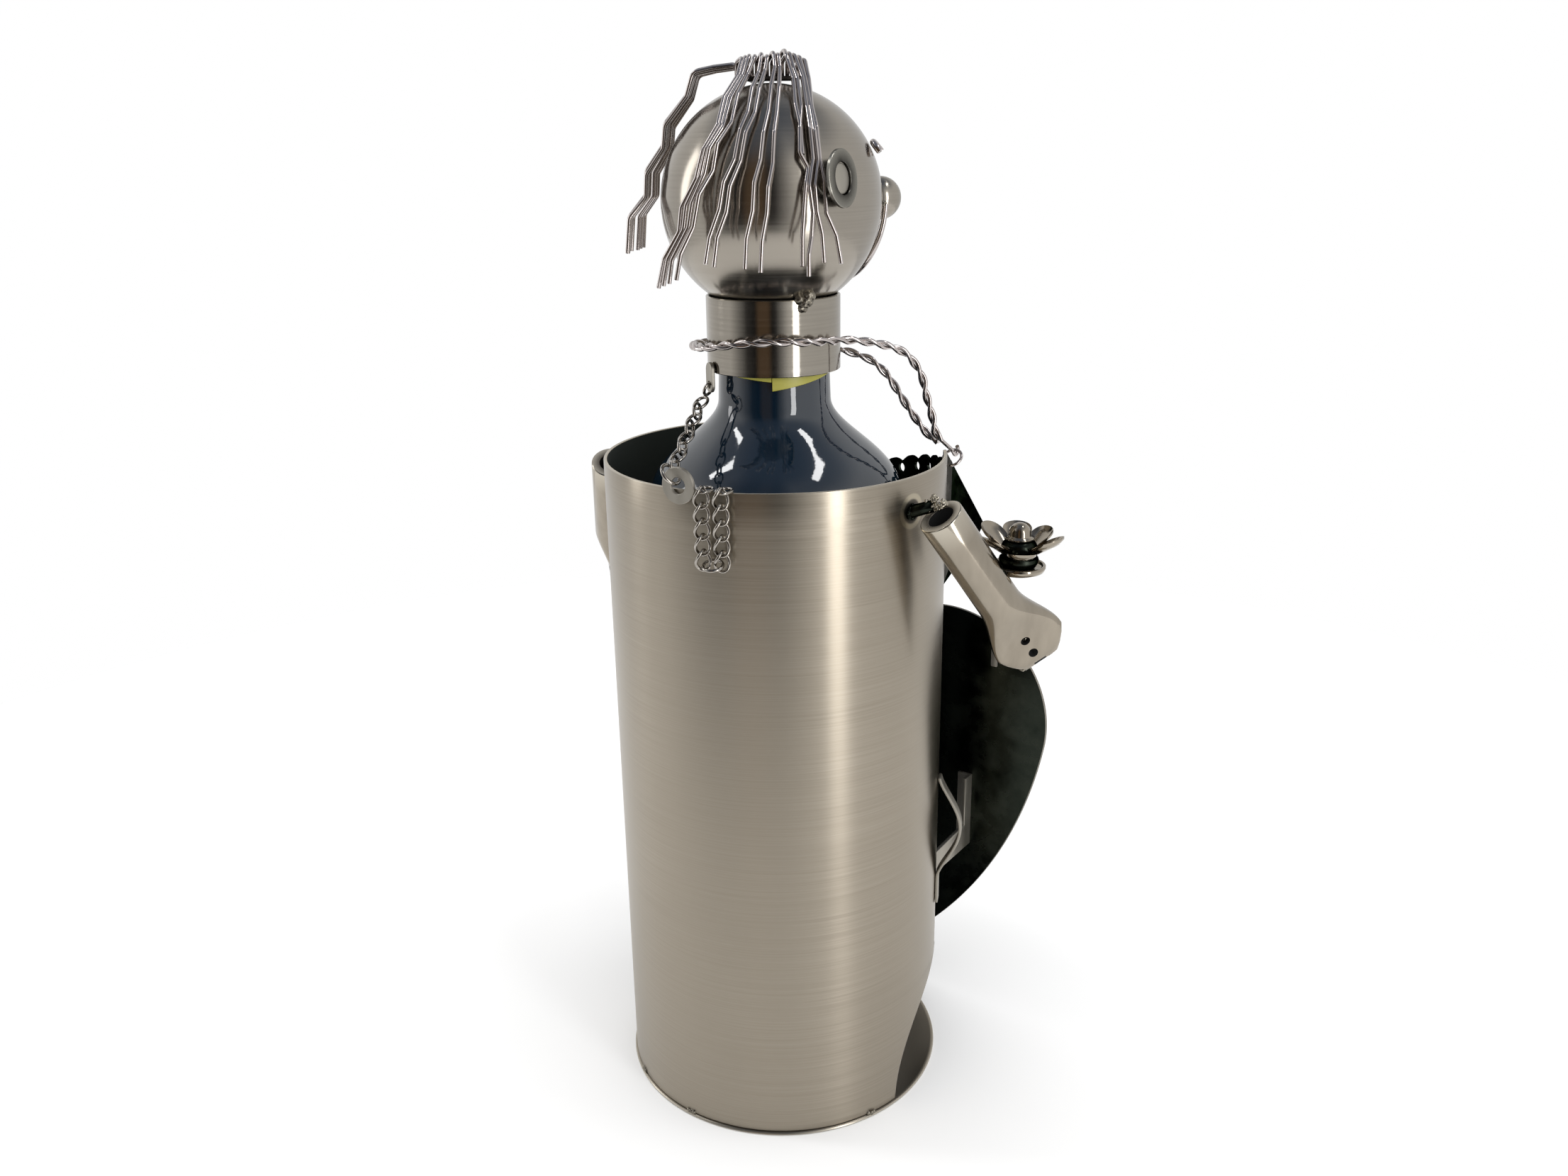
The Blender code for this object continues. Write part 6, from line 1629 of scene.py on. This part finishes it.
def make_flower():
    lip, top = SAUCER_RADIUS, SAUCER_TOP
    saucer = [(0, 0.0001), (lip - 0.0012, 0.0), (lip - 0.0004, 0.0004), (lip, 0.0012), (lip, top - 0.0002),
              (lip - 0.0002, top), (lip - 0.0006, top), (lip - 0.0008, top - 0.0002), (lip - 0.0010, 0.0014),
              (lip - 0.0016, 0.0011), (0, 0.0011)]
    add_turned("saucer", saucer, 72, "arm", "flower_saucer", 50)
    foot, rim = CUP_FOOT, CUP_RIM
    cup = [(0, foot), (0.0042, foot), (0.0049, foot + 0.0004), (0.0054, foot + 0.0014),
           (0.0056, rim - 0.0003), (0.0054, rim + 0.0003), (0.0044, rim + 0.0006), (0, rim + 0.0006)]
    add_turned("cup", cup, 72, "dark", "flower_cup", 50)
    hub = rim + 0.0001
    petals = grow(make_ring_tree(), make_petal(), "arm", Copies=6, Lift=0.0007, Tilt=0.16, Uneven=0.07)
    petals.transform(FLOWER @ Matrix.Translation((0, 0, hub)))
    add("petals", petals, "arm", "holder", ["flower_petals"], sharp=50)
    low = hub + 0.0006
    bead = [(0, low)]
    for k in range(1, 21):
        turn = math.pi * k / 24
        bead.append((BEAD_RADIUS * math.sin(turn) ** 0.7, low + BEAD_HALF - BEAD_HALF * math.cos(turn)))
    bead.append((0, low + 0.0050))
    add_turned("bead", bead, 64, "dark", "flower_seed", 60)
    foot = low + 0.0048
    cap = [(0, foot), (0.0040, foot), (0.0042, foot + 0.0003), (0.0041, foot + 0.0006),
           (0.0033, foot + 0.0008), (0.0031, foot + 0.0012), (0.0030, foot + 0.0022), (0.0026, foot + 0.0033),
           (0.0019, foot + 0.0041), (0.0010, foot + 0.0046), (0, foot + 0.0047)]
    add_turned("bead_cap", cap, 64, "arm", "flower_cap", 60)


make_flower()

# %% [markdown]
# ## Welds
# Every joint is a weld, and the photograph shows its lumps plainly. The tree sets a small ball on each
# point, sized by the point's own number, and pushes its surface about with noise, so the balls melt into
# one rough bead.

# %% The weld tree and every bead
def make_weld_tree():
    tree, inputs = new_tree("weld beads", Roughness=0.25)
    ball = node(tree, "GeometryNodeMeshIcoSphere", {"Radius": 1.0, "Subdivisions": 4}).outputs[0]
    size = node(tree, "GeometryNodeInputNamedAttribute", {"Name": "size"}, data_type="FLOAT").outputs[0]
    spots = node(tree, "GeometryNodeMeshToPoints", {"Mesh": inputs["Geometry"]}).outputs[0]
    placed = {"Points": spots, "Instance": ball, "Scale": size}
    beads = node(tree, "GeometryNodeInstanceOnPoints", placed).outputs[0]
    real = node(tree, "GeometryNodeRealizeInstances", {0: beads}).outputs[0]
    normal = node(tree, "GeometryNodeInputNormal").outputs[0]
    rough = node(tree, "ShaderNodeTexNoise", {"Scale": 900.0, "Detail": 3.0}).outputs["Fac"]
    push = math_node(tree, "MULTIPLY", math_node(tree, "SUBTRACT", rough, 0.5), inputs["Roughness"])
    push = math_node(tree, "MULTIPLY", push, 0.002)
    shift = node(tree, "ShaderNodeVectorMath", {0: normal, "Scale": push}, operation="SCALE").outputs[0]
    pushed = node(tree, "GeometryNodeSetPosition", {"Geometry": real, "Offset": shift}).outputs[0]
    end_tree(tree, pushed, inputs["Finish"])
    return tree


WELD = make_weld_tree()


def add_welds(name, body, beads, look="weld", roughness=0.45):
    """beads are (place, radius) pairs."""
    sizes = {"size": [radius for place, radius in beads]}
    host = carrier(points=[place for place, radius in beads], values=sizes)
    add(name, grow(WELD, host, look, Roughness=roughness), look, body, sharp=180)


def weld_row(start, end, radius, count):
    """Beads along a line, each a little off it and of its own size."""
    start, end = Vector(start), Vector(end)
    beads = []
    for k in range(count):
        place = start.lerp(end, k / max(count - 1, 1))
        wobble = noise.noise_vector(place * 700) * radius * 0.35
        beads.append((place + wobble, radius * (1 + 0.3 * noise.noise(place * 900))))
    return beads


def make_welds():
    """Beads are plain lumps, splash is the spatter on the rods, and burnt is the dark ring at their feet."""
    beads, splash, burnt = [], [], []
    for side, slope, across, lift in ARMS.values():
        wall = Vector((side * SHOULDER.x, SHOULDER.y, 0)).normalized()
        root = wall * (SHELL_RADIUS + 0.0002) + UP * (SHOULDER.z + lift)
        direction = (wall * ROD_OUT + UP * ROD_RISE).normalized()
        frame = along(wall, UP, root)
        burnt += [(frame @ polar(45 * k, 0.0016), 0.0007) for k in range(8)]
        tip = root + direction * 0.0066
        splash += weld_row(tip, tip + direction * 0.0040 - UP * 0.0002, 0.0012, 6)
        splash += weld_row(tip + UP * 0.0006, tip + direction * 0.0012 + UP * 0.0026, 0.0008, 4)
        splash += weld_row(tip + UP * 0.0008, tip - direction * 0.0014 + UP * 0.0020, 0.0006, 3)
        arm = along(slope, across, (side * SHOULDER.x, SHOULDER.y, SHOULDER.z))
        end = ROUND_LENGTH + FLARE_LENGTH + TIP_LENGTH - 0.0004
        splash += [(arm @ Vector((0.0005, 0, ROUND_LENGTH + FLARE_LENGTH - 0.0018)), 0.0008)]
        beads += weld_row(arm @ Vector((-0.0052, 0, end)), arm @ Vector((0.0052, 0, end)), 0.00085, 12)
    for angle in (-180, -112, 110, 150):
        beads += weld_row(polar(angle - 1, 0.0498, 0.0014), polar(angle + 1, 0.0498, 0.0014), 0.00075, 3)
    under = polar(CHAIN_TURN - 1.5, 0.0502, 0.1990), polar(CHAIN_TURN + 1.5, 0.0502, 0.1990)
    beads += weld_row(*under, 0.0006, 4)
    for side in (-1, 1):
        seam = lapel_corner(side) + Vector((side * 0.0003, -0.0006, 0))
        beads += weld_row(seam - UP * 0.018, seam - UP * 0.021, 0.0006, 3)
    beads += weld_row((-0.0635, -0.0205, 0.1735), (-0.0628, -0.0201, 0.1728), 0.0010, 3)
    add_welds("welds_on_body", "holder", beads)
    add_welds("splash_on_arms", "holder", splash, "splash", 1.1)
    add_welds("burnt_welds", "holder", burnt, "dark")
    start, end = polar(-120, 0.0187, COLLAR_TOP - 0.0018), polar(-114, 0.0190, COLLAR_TOP + 0.0012)
    beads = weld_row(start, end, 0.0016, 4)
    for angle in (-118, -20, 95):
        start = polar(angle - 4, 0.0189, COLLAR_TOP + 0.0001)
        end = polar(angle + 4, 0.0189, COLLAR_TOP - 0.0003)
        beads += weld_row(start, end, 0.0015, 4)
    for side in (-1, 1):
        start, end = on_ball(side * 88, 9, HEAD_RADIUS + 0.0004), on_ball(side * 86, 9, HEAD_RADIUS + 0.0012)
        beads += weld_row(start, end, 0.0009, 3)
        beads += [(on_ball(side * 24, -2, HEAD_RADIUS + 0.0004), 0.0009)]
    height = COLLAR_BOTTOM + 0.0008
    beads += weld_row(polar(TAB_TURN - 3, 0.0193, height), polar(TAB_TURN + 3, 0.0193, height), 0.0005, 3)
    add_welds("welds_on_head", "head", beads)


make_welds()
